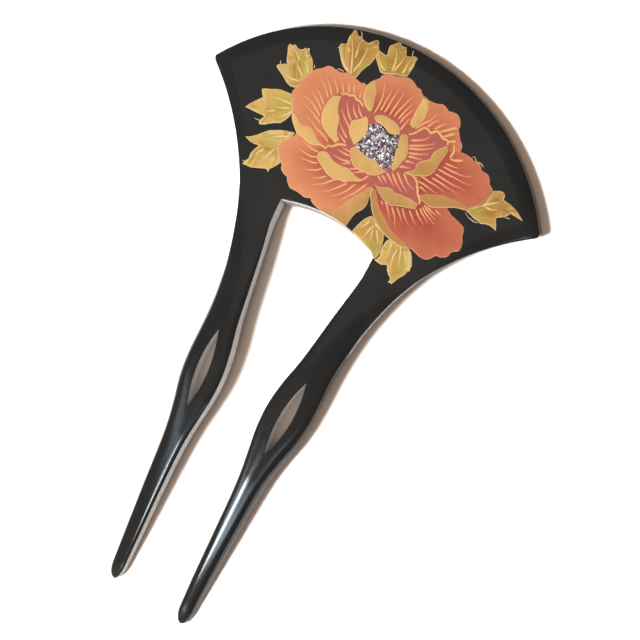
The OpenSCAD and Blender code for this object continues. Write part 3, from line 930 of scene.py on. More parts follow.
    def sheets(self, plan: Array, outline: Values, f: Array, s: Array) -> tuple[Array, Array]:
        """Front and back over the plan.

        Formula: lift plus a share of the thickness; the share blends from flat on the head to
        the prong's rounded section, and further down to each prong's own; less the bevel's
        parabola and the quarter round.

        Args:
            plan: array (..., 2).
            outline: the outline's curves.
            f: share of the prong's length.
            s: share of the prong's width from its inner edge.

        Returns:
            Points of the front and of the back, arrays (..., 3).
        """
        y, on_left = plan[..., 1], plan[..., 0] < 0
        k = curve(self.PRONG_ROWS[:, 0], self.PRONG_ROWS[:, 3], f)
        thick = np.where(k < 1, mix(self.plate_t, self.prong_t, k), mix(self.prong_t, self.tip_t, k - 1))
        part = ease(f / self.rounding_share)
        first, back_share, right, left = (curve(self.SECTION_ROWS[:, 0], row, s) for row in self.SECTION_ROWS.T[1:])
        own = ease((f - np.where(on_left, *self.own_from)) / self.own_len)
        front_share = mix(1.0, mix(first, np.where(on_left, left, right), own), part)
        scale = self.tip_scale(np.maximum(self.y_fork - y, 0))
        core = thick * self.core
        gaps = {name: distance_to(plan, line) for name, line in outline.items()}
        edge = np.min(list(gaps.values()), axis=0)
        rim_drop, flank_drop = (self.bevel_d * near(gaps[name], self.bevel_w) ** 2 for name in ("rim", "flank"))
        flank_drop *= ease((y - self.y_fork - self.flank_bevel_from) / self.flank_bevel_grow)
        bevel = np.minimum(np.sqrt(rim_drop**2 + flank_drop**2), self.bevel_d)
        thin = mix(1.0, self.prong_edge_share, part) * np.maximum(scale, self.tip_edge_share)
        drop, rise = (r * thin * (1 - rounded(edge, r * thin)) for r in (self.edge_r, self.back_r))
        front = self.lift(y) + core + (front_share * thick - core) * scale - bevel - drop
        back = self.lift(y) + core + (back_share * part * thick - core) * scale + rise
        top = np.concatenate([self.set_back(plan, gaps["notch"]), front[..., None]], -1)
        return top, np.concatenate([plan, np.minimum(back, front)[..., None]], -1)

    def set_back(self, plan: Array, gap: Array) -> Array:
        """Moves the front's edge back from the wall's foot round the fork.

        Formula: across by a draft that grows towards the fork's corners, and by another down
        the left prong; up by a slant that narrows from left to right along the arch; all
        fading away from the notch.

        Args:
            plan: array (..., 2).
            gap: distance to the notch.

        Returns:
            The moved plan.
        """
        x, under = plan[..., 0], np.maximum(0, self.y_fork - plan[..., 1])
        past = np.maximum(0, np.abs(x) - self.fork_half)
        always, by_fork = self.draft_left
        draft = np.where(x < 0, always + by_fork * np.exp(-((under / self.draft_fade) ** 2)), self.draft_right)
        across = np.sign(x) * draft * np.clip(np.abs(x) / self.fork_half, 0, 1) ** self.draft_power
        left = np.where(x < 0, self.prong_draft, 0)
        across = across - left * ease((under - self.prong_draft_from) / self.prong_draft_from)
        fade_down, fade_across = self.slant_fade
        up = (self.front_arch(x) - self.arch(x)) * np.exp(-under / fade_down) * np.exp(-past / fade_across)
        fade = near(gap, self.set_back_w) ** 2
        return plan + np.stack([across * self.tip_scale(under), up], -1) * fade[..., None]

    def bare_outer(self, y: Array) -> Array:
        """How bare an outer wall is: 1 round the neck, 0 towards the rim and the slots."""
        over = y - self.y_fork
        return ease((over + self.bare_down) / self.bare_fade) * ease((self.bare_up - over) / self.bare_fade)

    def wall(self, top: Array, low: Array, bare: Array, flip: bool,
             keep: Array | None = None, grey: float = 0.0) -> Surface:
        """Wall between a front edge and a back edge.

        Formula: straight blend from the front edge to the back edge at each place along it.

        Args:
            top: front edge, array (N, 3).
            low: back edge, array (N, 3).
            bare: how bare the wall is at each place.
            flip: turns the wall over.
            keep: places where the wall exists, or None for all.
            grey: how much painted shade it takes where it is bare, below its upper quarter.

        Returns:
            The wall.
        """
        steps, bare_at, shade_at = self.WALL_ROWS.T
        points = mix(top[:, None, :], low[:, None, :], steps[None, :, None])
        made = Surface.grid(points, {"bare": bare[:, None] * bare_at, "grey": grey * bare[:, None] * shade_at}, flip)
        if keep is not None:
            row = made.faces.min(axis=1) // len(steps)
            made.faces = made.faces[(keep[:-1] | keep[1:])[row]]
        return made

    def build(self) -> None:
        """Makes the piece, which stands for the solid body."""
        dress(self.skin(), "lacquered_pin", BlackLacquer().material(), Slot.LACQUER, "pin_body", sharp_deg=38.0)


# ------ the painting


@dataclass(frozen=True)
class Sight:
    """Where the picture is seen from, which places what was read off it."""

    eye: Triple = (71.963, 92.047, 270.0)
    target: Triple = (7.687, 11.342, 3.0)
    upward: Triple = (-0.46304, 0.88634, 0.0)
    lens: float = 71.97
    film: float = 36.0
    picture: float = 640.0

    def axes(self) -> Array:
        """Axes of the view.

        Returns:
            Right, up and back, as rows.
        """
        back = np.subtract(self.eye, self.target)
        back = back / np.linalg.norm(back)
        right = np.cross(self.upward, back)
        right = right / np.linalg.norm(right)
        return np.array([right, np.cross(back, right), back])

    def rays(self, line: Line) -> Array:
        """Directions from the eye.

        Args:
            line: places in the picture, counted from its top left.

        Returns:
            The directions through them, array (N, 3).
        """
        half = self.picture / 2
        x, y = np.array(line, float).reshape(-1, 2).T
        far = self.lens / self.film * self.picture
        return np.stack([x - half, half - y, np.full_like(x, -far)], -1) @ self.axes()


@dataclass(frozen=True)
class Layer:
    """Layer of paint on the face, in mm."""

    level: float
    foot: float  # share of the level at which its edge starts
    round_w: float  # width over which it rises to the level

    def height(self, edge: Array) -> Array:
        """Height over the face at a distance from the edge."""
        return self.level * (self.foot + (1 - self.foot) * rounded(edge, self.round_w))


LEAF = Layer(0.13, 0.4, 0.3)
PETAL = Layer(0.16, 0.35, 0.3)
LIP = Layer(0.24, 0.72, 0.6)
RING = Layer(0.26, 0.72, 0.6)
SHELL = Layer(0.17, 0.5, 0.4)


@dataclass
class Face:
    """The sloping front of the head, on which the painting lies."""

    flower_x: float = 1.75
    flower_down: float = 21.8
    off_arch: float = 0.05  # least distance of paint from the front edge round the fork
    off_rim: float = 0.25  # and from the rim's arc
    base: float = -0.02  # height of the paint's underside
    pin: PinBody = field(default_factory=PinBody)
    sight: Sight = field(default_factory=Sight)

    def __post_init__(self) -> None:
        """Works out the slope's axes and its origin, the flower's heart."""
        tilt = math.atan(self.pin.bow_slope)
        self.along = np.array([0.0, math.cos(tilt), -math.sin(tilt)])
        self.off = np.array([0.0, math.sin(tilt), math.cos(tilt)])
        self.heart = np.array([self.flower_x, self.pin.y_top, self.pin.plate_t]) - self.flower_down * self.along

    def on(self, plan: Array, height: Array) -> Array:
        """Places points of the painting.

        Formula: the heart, plus x along the head, y up the slope and the height off the slope,
        less the drop near the rim.

        Args:
            plan: array (..., 2) in mm from the heart.
            height: height over the face.

        Returns:
            Array (..., 3).
        """
        across = plan[..., :1] * np.array([1.0, 0.0, 0.0])
        level = (height - self.bevel(plan))[..., None]
        return self.heart + across + plan[..., 1:] * self.along + level * self.off

    def bevel(self, plan: Array) -> Array:
        """Drop of the face near the rim.

        Formula: the pin's own parabola of the distance to the rim's arc.

        Args:
            plan: array (..., 2) in mm from the heart.

        Returns:
            The drop there.
        """
        x, y = plan[..., 0] + self.heart[0], plan[..., 1] * self.along[1] + self.heart[1]
        gap = self.pin.rim_r - np.hypot(x, y - self.pin.rim_y)
        return self.pin.bevel_d * near(gap, self.pin.bevel_w) ** 2

    def laid(self, line: Line, height: float = 0.15) -> Array:
        """Lays a line that was read off the picture on the face.

        Formula: each ray of sight is cut with the slope's plane at a height; the cut's x and
        y are measured from the heart; under the head's front edge round the fork they are
        moved up to that edge, and past the rim's arc back to just within it.

        Args:
            line: places in the picture.
            height: height over the face in mm.

        Returns:
            Array (N, 2) in mm from the heart.
        """
        eye = np.array(self.sight.eye)
        rays = self.sight.rays(line)
        drop = np.zeros(len(rays))
        for _ in range(3):
            reach = (height - drop - (eye - self.heart) @ self.off) / (rays @ self.off)
            spot = eye + rays * reach[:, None] - self.heart
            plan = np.stack([spot[:, 0], spot @ self.along], -1)
            drop = self.bevel(plan)
        x = plan[:, 0] + self.flower_x
        edge = (self.pin.front_arch(x) + self.off_arch - self.heart[1]) / self.along[1]
        inside = np.abs(x) < self.pin.fork_half
        plan[:, 1] = np.where(inside, np.maximum(plan[:, 1], edge), plan[:, 1])
        out = np.stack([x, plan[:, 1] * self.along[1] + self.heart[1] - self.pin.rim_y], -1)
        out *= np.minimum(1, (self.pin.rim_r - self.off_rim) / np.linalg.norm(out, axis=1))[:, None]
        up = (out[:, 1] + self.pin.rim_y - self.heart[1]) / self.along[1]
        return np.stack([out[:, 0] - self.flower_x, up], -1)

    def slab(self, plan: Array, top: Array, values: Values, ring: bool = False) -> Surface:
        """Closed layer of paint.

        Formula: a relief on a grid, the same grid at its base, and a wall round them.

        Args:
            plan: grid, array (rows, columns, 2).
            top: heights of the relief.
            values: point values, for each point, for each column or one for all.
            ring: joins the last column to the first.

        Returns:
            The layer, facing outwards.
        """
        pad = ((1, 1), (0, 0)) if ring else ((1, 1), (1, 1))
        carried = {name: np.pad(np.broadcast_to(v, top.shape), pad, mode="edge") for name, v in values.items()}
        plan = np.pad(plan, (*pad, (0, 0)), mode="edge")
        high = np.pad(top, pad, constant_values=self.base)
        upper = Surface.grid(self.on(plan, high), carried, False, ring)
        lower = Surface.grid(self.on(plan, np.full_like(high, self.base)), carried, True, ring)
        return Surface.join([upper, lower]).outward()


# Lines below are places in the picture's frame of 640 by 640, read off, x and y in turn.

PETAL_EDGES: list[Line] = [
    [296.5, 133, 294.5, 128, 293, 124, 291.5, 118, 292, 112, 292.5, 106, 292, 100, 291.5, 94, 293, 90, 296.5, 87,
     300, 82, 303, 79, 306, 76, 309, 74, 312, 71, 315, 69.5, 318, 68.5, 322, 68, 325, 66.8, 328.5, 65.7, 332, 66.5,
     335, 68.7, 337, 69.8, 341, 72, 345, 72.5, 349, 72.5, 355, 78, 358, 80, 360, 82, 362, 83, 364, 82.5, 366, 84.5],
    [366, 84.8, 368, 84, 371, 81.5, 376, 79.5, 380, 78, 382, 75.5, 386, 74, 392, 74.5, 397, 76, 403, 77, 408, 77.5,
     412, 79.5, 415, 83, 417, 86.5, 419.5, 88.3, 421, 89, 422, 92, 424, 96, 426, 97],
    [426, 97, 430, 100.5, 433, 102, 437, 103.5, 443, 104.3, 446, 106.5, 448, 109, 449, 111, 453, 112, 457, 114,
     459.5, 117, 460.5, 121, 460.5, 126, 459, 130, 459.7, 133, 460, 137, 460.7, 141, 461, 146, 461, 150, 461.5, 152.5],
    [461.5, 152.5, 465, 153.5, 469, 156, 472, 158, 474, 160.5, 476, 162, 479, 163.5, 481, 166, 482, 170, 484, 172,
     487, 173.5, 489, 176, 490, 180, 490, 184, 491.5, 187, 493, 190.5, 491, 193, 490, 197, 487, 200, 483, 203,
     478, 206, 472, 208, 468, 209.5, 465, 210.5, 460, 209, 455, 208, 447, 208],
    [447, 208, 449.5, 212, 449.5, 212, 452.7, 216.3, 456.5, 220, 460.3, 223.3, 463.2, 226.5, 464.1, 229, 463.4, 233.5,
     462.5, 237.3, 462.8, 241, 461.9, 245.5, 460.3, 249.3, 457.8, 251.5, 452.7, 252.1, 450.2, 253.7, 448.3, 256.2,
     445.1, 257.5, 440, 257.5, 436.2, 256.1, 433.7, 256.9, 430.5, 258.8, 426.1, 259.6, 422.3, 258.7, 417.8, 255.6,
     414, 251.8, 410.9, 249, 406, 248, 401, 247, 397, 245, 392, 241, 388, 238, 383, 233, 380, 229, 377, 224, 374, 218,
     372, 212, 371, 206, 370.5, 200, 370, 195, 370.6, 188],
    [296.5, 133, 295, 135, 293, 136, 289, 138, 285, 139.5, 281, 142, 278.5, 145, 277.5, 148, 278, 152, 279, 157,
     280, 161, 281.5, 165, 280.8, 168, 282, 171.5, 284.5, 175, 286.5, 176.3, 287, 180, 288, 184, 289.5, 187.5,
     293, 189.8, 296.5, 191.5, 300, 194, 303.5, 196.8, 307, 198, 310.5, 198.5, 311, 201, 313, 204, 316, 207,
     319, 209.5, 321, 211, 325, 214.5, 330, 218, 335, 221, 340, 224.5, 344, 227, 345, 226.5, 348, 223, 351, 219,
     353, 216, 356, 213, 360, 211, 363, 209, 366, 206, 368, 202, 369, 198, 370.3, 190],
]

# edge nearer the petal it fades into, then the other edge, both from tip to tip
TURNED_EDGES: list[tuple[Line, Line]] = [
    ([341.5, 96, 340, 100, 338.5, 105, 338, 108, 338.5, 114, 339.5, 118, 339, 122, 337.5, 128, 337.5, 133, 338, 137,
      340, 139.5],
     [333, 96, 330, 99, 327, 103, 324.5, 107, 322.5, 112, 321.5, 118, 322, 124, 324, 129, 327, 133, 330, 137,
      333, 140.5, 335, 143]),
    ([447.5, 145.8, 444, 147, 439, 149, 435, 151.5, 432, 155, 430, 159, 425, 160, 420, 161.5, 416, 165, 415, 169,
      411, 171, 406, 171.5],
     [448, 147.5, 448, 151, 446, 155, 443, 159, 440, 163, 437, 168, 434, 172, 431, 174.5, 427, 176.3, 421, 176,
      416, 176, 410, 174.5, 404, 173]),
    ([374, 183, 378, 186, 383, 187, 389, 187.5, 393, 190, 396, 193, 401, 194.5, 406, 197, 411, 199, 415, 202, 418, 204,
      416, 207.5],
     [376, 188, 379, 193, 382, 198, 386, 202, 390, 205.5, 396, 206, 403, 207, 410, 208.5, 416, 209]),
    ([320, 209, 325, 208, 330, 208.5, 336, 207, 340, 206, 344, 203, 347, 200, 350, 198.5, 355, 195, 360, 193,
      365, 190.5, 370, 187],
     [321, 211, 325, 214.5, 330, 218, 335, 221, 340, 224.5, 344, 227, 345, 226.5, 348, 223, 351, 219, 353, 216,
      356, 213, 360, 211, 363, 209, 366, 206, 368, 202, 369, 198, 371, 192, 372, 187]),
    ([322, 150.8, 326, 151.5, 329, 154, 331, 157, 333, 160, 337, 163, 341, 165.5, 345, 166.8, 349, 168.5, 351, 171,
      354, 174, 357, 177, 361, 179, 367, 179],
     [320, 151.5, 318, 153, 317, 157, 318, 161, 321, 165.5, 324, 170, 327, 174, 331, 177.5, 335, 180, 340, 180.5,
      345, 182.5, 349, 181.5, 354, 181.5, 360, 181.5, 364, 180]),
    ([296, 114, 303, 124, 308, 125, 312, 127.5, 314, 131, 316, 135, 318, 139, 321, 143, 325, 146],
     [292, 112, 292, 117, 293, 122, 294.5, 127, 296.5, 133, 300, 135.5, 303, 138, 306, 141, 310, 144, 315, 145,
      320, 145.5, 324, 148]),
    ([367, 85, 366, 88, 364, 92, 363.5, 97, 364, 102, 366, 107, 369, 111],
     [376, 80, 376, 88, 376.5, 92, 375, 98, 374, 104, 373, 108, 371, 111.5]),
    ([423, 98, 421, 103, 418, 107, 415.5, 112, 413, 117, 411, 121, 410, 125],
     [430.5, 101, 429, 103, 429, 108, 427, 113, 425, 118, 421, 123, 417, 126, 413, 128]),
    ([419, 198, 420, 195, 425, 194, 432, 194, 440, 194.5, 446, 195.5, 450, 198, 456, 199.5, 461, 202, 466, 205,
      469, 208],
     [421, 200, 425, 203, 430, 207, 436, 208, 442, 208, 447, 207.8, 455, 208, 461, 209, 465, 210]),
    ([376, 190, 377, 196, 378, 202, 380, 208, 383, 214, 386, 220, 389, 226, 393, 232, 398, 237, 403, 241, 407, 245,
      409, 248],
     [372, 187, 370, 195, 370.5, 200, 371, 206, 372, 212, 374, 218, 377, 224, 380, 229, 383, 233, 388, 238, 392, 241,
      397, 245, 401, 247, 406, 248, 410, 249]),
]
# how far each turned edge fades into the petal beside it
EDGE_FADES = [0.0, 0.0, 0.0, 0.5, 0.0, 0.6, 0.0, 0.0, 0.35, 0.6]

HEART_RINGS: list[tuple[Line, Line]] = [
    ([354, 145, 358, 142, 363, 138, 367, 133, 368.3, 128, 368.5, 124],
     [354, 145, 352, 140, 350, 136, 349, 131, 349.5, 127, 352, 121, 356, 119.5, 361, 118.5, 366, 116.5, 368.5, 120,
      368.5, 124]),
    ([375, 119, 377, 122, 381, 124, 385, 128, 389, 133, 394, 134.5, 400, 134.2],
     [375, 119, 375, 116.5, 380, 115, 386, 116, 391, 119, 395, 122, 399, 126, 400.5, 129, 400, 134]),
    ([400, 136.5, 398, 143, 396, 150, 394, 158, 391, 166, 393, 171],
     [400, 136, 404, 134, 408, 136, 408, 145, 408, 152, 406, 158, 402, 162, 398, 167, 393, 171]),
    ([350.5, 148, 356.5, 147, 361, 151.5, 366, 155.5, 370, 158, 375, 159.5, 378, 163, 382, 168, 386, 171, 389, 170],
     [350.5, 148, 350, 155, 351, 160, 353, 165, 356, 168, 359, 170, 364, 172, 368, 174.5, 374, 175.5, 380, 174.5,
      385, 172, 389, 170]),
]

SHELL_EDGE: Line = [
    369, 124, 377, 123.5, 381, 126, 386, 131, 391, 134.5, 399, 136, 400, 139, 398, 146, 395, 155, 393, 162, 390, 169,
    386, 171, 382, 168, 378, 163, 375, 159.5, 370, 158, 366, 155.5, 361, 151.5, 357, 147, 356, 144.5, 361, 139,
    366, 135, 368, 130, 367.5, 126]

# where the cupped inside of the flower ends, once round from the left
CUP_EDGE: Line = [
    346, 146, 337, 142, 333, 137, 330, 128, 329.5, 118, 331, 108, 335, 98, 341, 92.5, 350, 95, 358, 100, 364, 107,
    371, 113, 381, 113, 393, 118, 403, 126, 411, 127, 421, 127, 432, 132, 441, 134, 448, 141, 446, 149, 438, 157,
    431, 168, 419, 175, 417, 190, 419, 203, 406, 202, 394, 198, 384, 193, 375, 186, 360, 181, 345, 176, 331, 170,
    323, 161, 319, 153, 331, 147, 346, 146]

VEINS_OUTER: list[Line] = [
    [316.8, 88.3, 319.5, 92.3, 321.3, 96.8, 322.8, 100.8, 323.8, 104.5],
    [311.3, 88, 313.3, 92.8, 316.3, 97.8, 319, 102.3, 320.3, 106.3, 321.8, 109.8],
    [302.8, 94.3, 308.3, 98.8, 312.3, 102.8, 315.3, 106.8, 317.8, 111.3, 320.3, 116.3],
    [305.3, 104.8, 309.8, 108.8, 312.8, 112.3, 315.3, 115.8, 318.3, 119.8, 320.8, 123.8],
    [305.3, 113.8, 308.3, 117.3, 311.8, 120.8, 314.3, 124.3, 316.3, 127.8, 319.6, 130.8, 323.3, 134.8, 326.3, 138.8,
     328.6, 142.8],
    [320.8, 78.8, 323.3, 81.8, 325.1, 86.3, 326.8, 90.8, 327.8, 94.8, 328.8, 98.3],
    [326.8, 75.8, 328.3, 80.3, 330.1, 85.3, 331.1, 90.3, 332.3, 95.6],
    [334.3, 75.3, 335.3, 79.8, 336.3, 84.8, 337.6, 89.3, 337.8, 93.8],
    [342.6, 80.3, 343, 85.3, 343.8, 90.3, 344, 92.8],
    [349, 79.3, 349.2, 84.8, 349.5, 93.3],
    [355.6, 79.8, 354.6, 84.3, 354.3, 90.3, 354.5, 93.3],
    [361.6, 88.3, 361.6, 91.3, 360.6, 94.8, 360, 98.3],
    [300.3, 140.3, 302.8, 141.3, 305.3, 143.3, 308.3, 145.3, 311.3, 148.3, 314.3, 149.8, 317.3, 151.3, 319.6, 151.8],
    [298.3, 148.3, 301.3, 149.8, 303.8, 151.8, 306.8, 153.8, 309.8, 155.3, 312.8, 156.8, 318.3, 156.3],
    [298.8, 156.8, 302.3, 158.3, 306.3, 159.8, 310.3, 161.3, 313.8, 162.6, 318.3, 162.8],
    [302.8, 168.8, 306.8, 169.5, 311.8, 169.8, 316.3, 169.8, 320.3, 169.1, 322.3, 168.3],
    [311.8, 177.8, 316.3, 177.8, 320.8, 177.6, 324.8, 176.6, 326.8, 175.8],
    [310.8, 184.8, 315.3, 184.3, 320.3, 183.8, 324.8, 183.1, 328.8, 181.6, 332.8, 180.3, 335.8, 179.6],
    [321.3, 191.6, 328.3, 190.8, 332.3, 189.6, 336.8, 187.8, 341.3, 185.8, 345.3, 184.1, 348.3, 183.3],
    [328.3, 196.8, 332.3, 195.8, 336.8, 194.8, 341.3, 193.3, 344.3, 191.8, 347.3, 190.1, 350.3, 188.1, 352.8, 185.8,
     356.8, 184.3],
    [336.3, 201.8, 340.3, 200.3, 343.8, 198.3, 348.3, 195.8, 351.8, 194.3, 354.8, 192.8, 358.3, 190.3, 361.8, 187.8,
     364.8, 185.3, 368.3, 183.1],
    [439, 112.3, 436.3, 115.3, 433.3, 117.8, 430.8, 120.3, 427.3, 121.8, 423.3, 123.8, 419.3, 126.3, 414.8, 128.8],
    [439.8, 119.3, 436.3, 121.3, 432.8, 122.8, 429.8, 125.3, 426.8, 126.8],
    [447.8, 123.5, 444.3, 124.8, 440.8, 125.8, 437.3, 127.7, 434.5, 129.1],
]

VEINS_TOP: list[Line] = [
    [384.8, 80.3, 384.7, 85.3, 384.1, 90.8, 383.3, 95.3, 381.3, 100.8, 379.3, 104.8, 376.8, 109.3, 373.6, 113.3],
    [392.6, 88.3, 391.3, 92.3, 388.8, 96.8, 386.3, 100.8, 383.8, 105.3, 381.8, 108.8, 380.6, 111.3],
    [399.6, 86.8, 397.8, 90.3, 395.8, 94.3, 392.8, 98.8, 389.8, 104.3, 386.8, 109.3, 384.3, 112.8],
    [404.8, 91.8, 402.8, 95.3, 400.3, 99.3, 397.8, 102.8, 394.8, 107.3, 391.8, 111.8, 389.3, 115.8],
    [414.3, 95.8, 411.3, 98.3, 407.8, 101.8, 403.8, 105.8, 399.8, 109.8, 396.3, 113.8, 393.8, 117.3],
    [414.8, 102.8, 411.8, 105.3, 408.3, 108.3, 404.8, 111.8, 401.3, 115.8, 397.8, 119.8],
    [413.8, 108.8, 410.3, 112.3, 406.3, 115.8, 402.8, 119.3, 399.8, 123.3],
    [410.3, 118.3, 407.8, 120.8, 405.3, 123.8, 402.8, 126.8, 400.8, 129.8],
]

VEINS_CUP: list[Line] = [
    [342.3, 108.3, 342.8, 111.8, 344.3, 116.3, 346.3, 120.8, 348.3, 125.3, 349.3, 128.3],
    [347.8, 100.8, 347.6, 105.8, 348.3, 111.3, 349.6, 116.3, 351.6, 121.3],
    [353.8, 102.8, 353.6, 106.3, 354.3, 110.8, 355.6, 114.3, 357.6, 118.3],
    [358.6, 102.8, 359.1, 106.3, 359.8, 111.3, 361.1, 114.3, 362.3, 117.3],
    [340, 121.3, 341.3, 125.8, 342.8, 129.8, 344.3, 132.8, 347.3, 138.3],
    [338.8, 131.3, 340.3, 134.8, 342.3, 137.8, 344.3, 140.8, 345.8, 143.3],
    [342.3, 147.1, 344.8, 148.8, 347.3, 150.3, 350.3, 151.6],
    [336.8, 148.3, 339.3, 150.3, 341.8, 151.8, 344.3, 153.3, 347.3, 154.8, 349.8, 155.6],
    [331.8, 154.1, 334.3, 155.3, 336.8, 156.8, 339.3, 158.3, 342.3, 159.8, 345.3, 160.6, 350.8, 161.6],
    [340.3, 163.6, 343.8, 163.6, 347.3, 163.1, 350.8, 163.3],
    [345.8, 168.3, 349.8, 168.8, 354.3, 168.6, 358.8, 168.3],
    [352.3, 172.8, 356.8, 172.3, 360.3, 171.6, 363.8, 172.3],
    [360.8, 179.8, 363.8, 178.8, 366.3, 177.3, 368.8, 175.8],
    [431.3, 136.3, 427.8, 138.1, 424.3, 139.6, 420.3, 140.1, 415.8, 140.3, 410.8, 140.3],
    [435.8, 142.8, 434.3, 143.8, 430.3, 144.6, 425.3, 145.3, 419.3, 145.6, 413.3, 145.6, 408, 145.6],
    [435.3, 147.3, 431.3, 148.3, 425.3, 149.1, 419.3, 149.3, 413.3, 148.8, 408, 148.3],
    [429.3, 154.3, 424.8, 154.3, 419.3, 154.3, 413.3, 153.6, 408, 152.8],
    [423.3, 159.8, 420.3, 159.1, 416.3, 158.1, 412.3, 157.1, 408, 156.3],
    [415.3, 163.6, 412.3, 162.6, 408.8, 161.6, 405.3, 160.8],
    [411.3, 168.3, 406.8, 167.6, 402.8, 166.6, 399.3, 167.1],
    [382.8, 183.8, 381.3, 181.3, 379.8, 178.3, 377.8, 175.8],
    [386.8, 183.8, 385.3, 180.3, 383.8, 177.3, 381.8, 174.8],
    [394.3, 186.8, 392.3, 183.3, 390.3, 178.8, 388.3, 174.8, 386.3, 172.3],
    [402.3, 192.3, 400.3, 189.3, 397.8, 185.3, 395.8, 181.3, 393.8, 176.3, 392.3, 172.8],
    [407.8, 193.8, 405.8, 189.8, 403.3, 185.8, 400.8, 180.8, 398.8, 175.8, 397.3, 171.8],
    [414.3, 189.8, 411, 187, 408.5, 183.8, 406.5, 180, 405.3, 176.3, 403.8, 172.8],
]

VEINS_RIGHT: list[Line] = [
    [460.3, 168.8, 457.3, 167.8, 453.3, 166.6, 449.3, 164.8, 445.3, 163.3],
    [474.3, 175.8, 469.3, 176.6, 462.8, 175.8, 457.8, 173.8, 453.3, 171.8, 449.3, 169.8, 445.8, 167.8, 442.8, 166.3],
    [471.8, 184.8, 465.8, 183.8, 460.8, 181.3, 456.3, 178.8, 452.3, 176.8, 448.3, 174.8, 444.8, 172.8, 441.3, 170.8,
     437.3, 168.8],
    [466.3, 191.3, 461.8, 188.8, 457.3, 186.8, 452.8, 184.8, 448.8, 182.3, 444.8, 179.8, 441.3, 177.6, 437.8, 175.3,
     434.3, 173.6],
    [458.8, 195.3, 455.3, 192.3, 451.3, 189.8, 446.8, 187.3, 442.8, 184.3, 438.8, 181.8, 434.8, 179.3, 431.3, 177.3],
    [446.8, 193.8, 443.3, 191.3, 439.3, 188.3, 435.3, 185.3, 431.3, 182.8, 427.3, 180.3, 423.8, 177.8, 420.3, 176.3],
    [437.8, 193.3, 434.8, 192.3, 431.3, 189.8, 428.3, 187.3, 424.8, 184.8, 421.3, 182.8, 417.8, 180.8],
    [428.3, 192.8, 426.3, 192.1, 423.8, 189.8, 421.8, 187.8, 419.3, 186.8],
    [382.8, 205.8, 382.3, 203.3, 381.8, 200.8],
    [389.8, 221.8, 389.6, 218.3, 389.1, 214.3, 388.3, 210.8, 387.3, 206.8, 386.3, 203.8, 384.8, 200.8],
    [394.8, 229.3, 394.8, 220.8, 394.6, 216.8, 393.8, 212.8, 392.8, 209.3, 391.3, 206.3],
    [401.6, 222.3, 400.8, 218.3, 399.6, 214.3, 398.3, 210.8, 396.8, 207.3],
    [408.8, 226.3, 407.3, 222.8, 405.8, 219.3, 404.3, 215.3, 403.3, 211.3, 402.3, 207.8],
    [416, 225.3, 414.7, 222.8, 412.8, 219, 410.9, 213.9, 409.3, 209.8],
    [423.9, 226, 422.3, 222.8, 420.4, 219.7, 417.8, 214.6, 416, 209.5],
    [428.6, 224.1, 426.7, 220.9, 424.2, 216.5, 421.6, 212, 420.1, 207.6],
    [436.2, 225.3, 433, 222.8, 429.9, 219, 426.7, 214.6, 424.2, 210.1, 422.3, 206.3],
    [436.2, 220.3, 433.7, 218.4, 429.9, 213.3, 426.7, 208.9, 424.2, 204.4],
    [438.1, 215.8, 434.3, 213.9, 430.5, 210.1, 427.4, 206.3],
    [442.5, 215.8, 439.4, 213.9, 435.6, 210.1],
]

GOLD_WAVES: list[Line] = [
    [340.8, 92.3, 343.8, 94.3, 347.3, 93.3, 349.8, 95.3, 354.8, 95.3, 356.3, 98.3, 358.3, 100.1, 360.8, 101.8,
     362.3, 104.3, 363.3, 106.8],
    [323.8, 148.8, 325.8, 147.8, 327.8, 146.3, 329.8, 145.6, 332.3, 146.3, 334.8, 145.6, 337.3, 144.3, 340.3, 144.3,
     343.3, 144.6, 346.8, 145.6],
    [408.3, 134.3, 412.3, 133.8, 416.3, 132.3, 419.8, 130.1, 423.3, 128.1, 425.8, 127.8, 428.3, 129.6, 430.3, 131.8,
     431.8, 133.3, 434.3, 131.6, 437.8, 131.6, 440.3, 133.8, 441.3, 135.8, 443.3, 138.3, 445.8, 139.6, 447.6, 140.3,
     448.1, 142.8, 447.8, 145.8],
    [440.3, 131.8, 444.8, 130.8, 449.3, 129.6, 454.3, 128.3, 457.3, 128.1],
    [442.8, 136.6, 446.8, 136.1, 450.8, 134.6, 455.3, 133.8],
    [448.3, 141.6, 451.8, 141.6, 456.3, 141.1],
    [406.3, 173.8, 409.8, 173.8, 412.3, 175.3, 415.3, 178.3, 416.8, 181.3, 417.1, 185.3, 417.8, 189.3, 417.8, 193.3,
     418.8, 196.3, 419.4, 199.3, 420.1, 201.8, 418.8, 204.4],
    [453.8, 144.8, 454.3, 148.3, 453.8, 152.3, 451.8, 155.3, 450.3, 158.3],
    [450.3, 159.1, 454.3, 160.3, 458.8, 160.6, 463.3, 160.3],
]

# pale hairs that run over the lacquer beside the flower and its leaves
HAIRS: list[Line] = [
    [336, 70, 339, 69, 342, 70.5, 344, 71.5],
    [460.5, 141, 461.5, 145, 461, 150],
    [471.8, 157.8, 473.8, 156.8, 475.3, 158.3, 475.8, 160.3, 477.3, 162.3, 479.3, 162.8, 481.3, 163.8, 482.8, 165.8,
     483.3, 167.8],
    [280.4, 60, 280.4, 64.2],
    [314.3, 64.3, 314.6, 68.3],
    [254.2, 117.8, 256.9, 119.3, 259.6, 119.9],
    [241.8, 160.3, 245, 160.8, 248, 160],
    [361, 31, 361.8, 33, 362, 38],
    [337.5, 47.5, 339, 47.7, 341, 47.4],
    [413.5, 50, 412.1, 56],
    [464.9, 211.9, 467.2, 215.9, 470.6, 219.3, 474.2, 221.8, 478.5, 223],
    [504.4, 217, 507, 218.2, 509.9, 218.8],
]


@dataclass(frozen=True)
class LeafTrace:
    """One leaf as read off the picture."""

    edge: Line
    rib: Line
    veins: list[Line]
    green: Triple  # where it is green, and how far
    # how deep its gold is; the leaves to the right and at the top are deeper, partly their own gold and partly painted
    # shade standing in for the sheen that brightens the left of the head
    tone: float


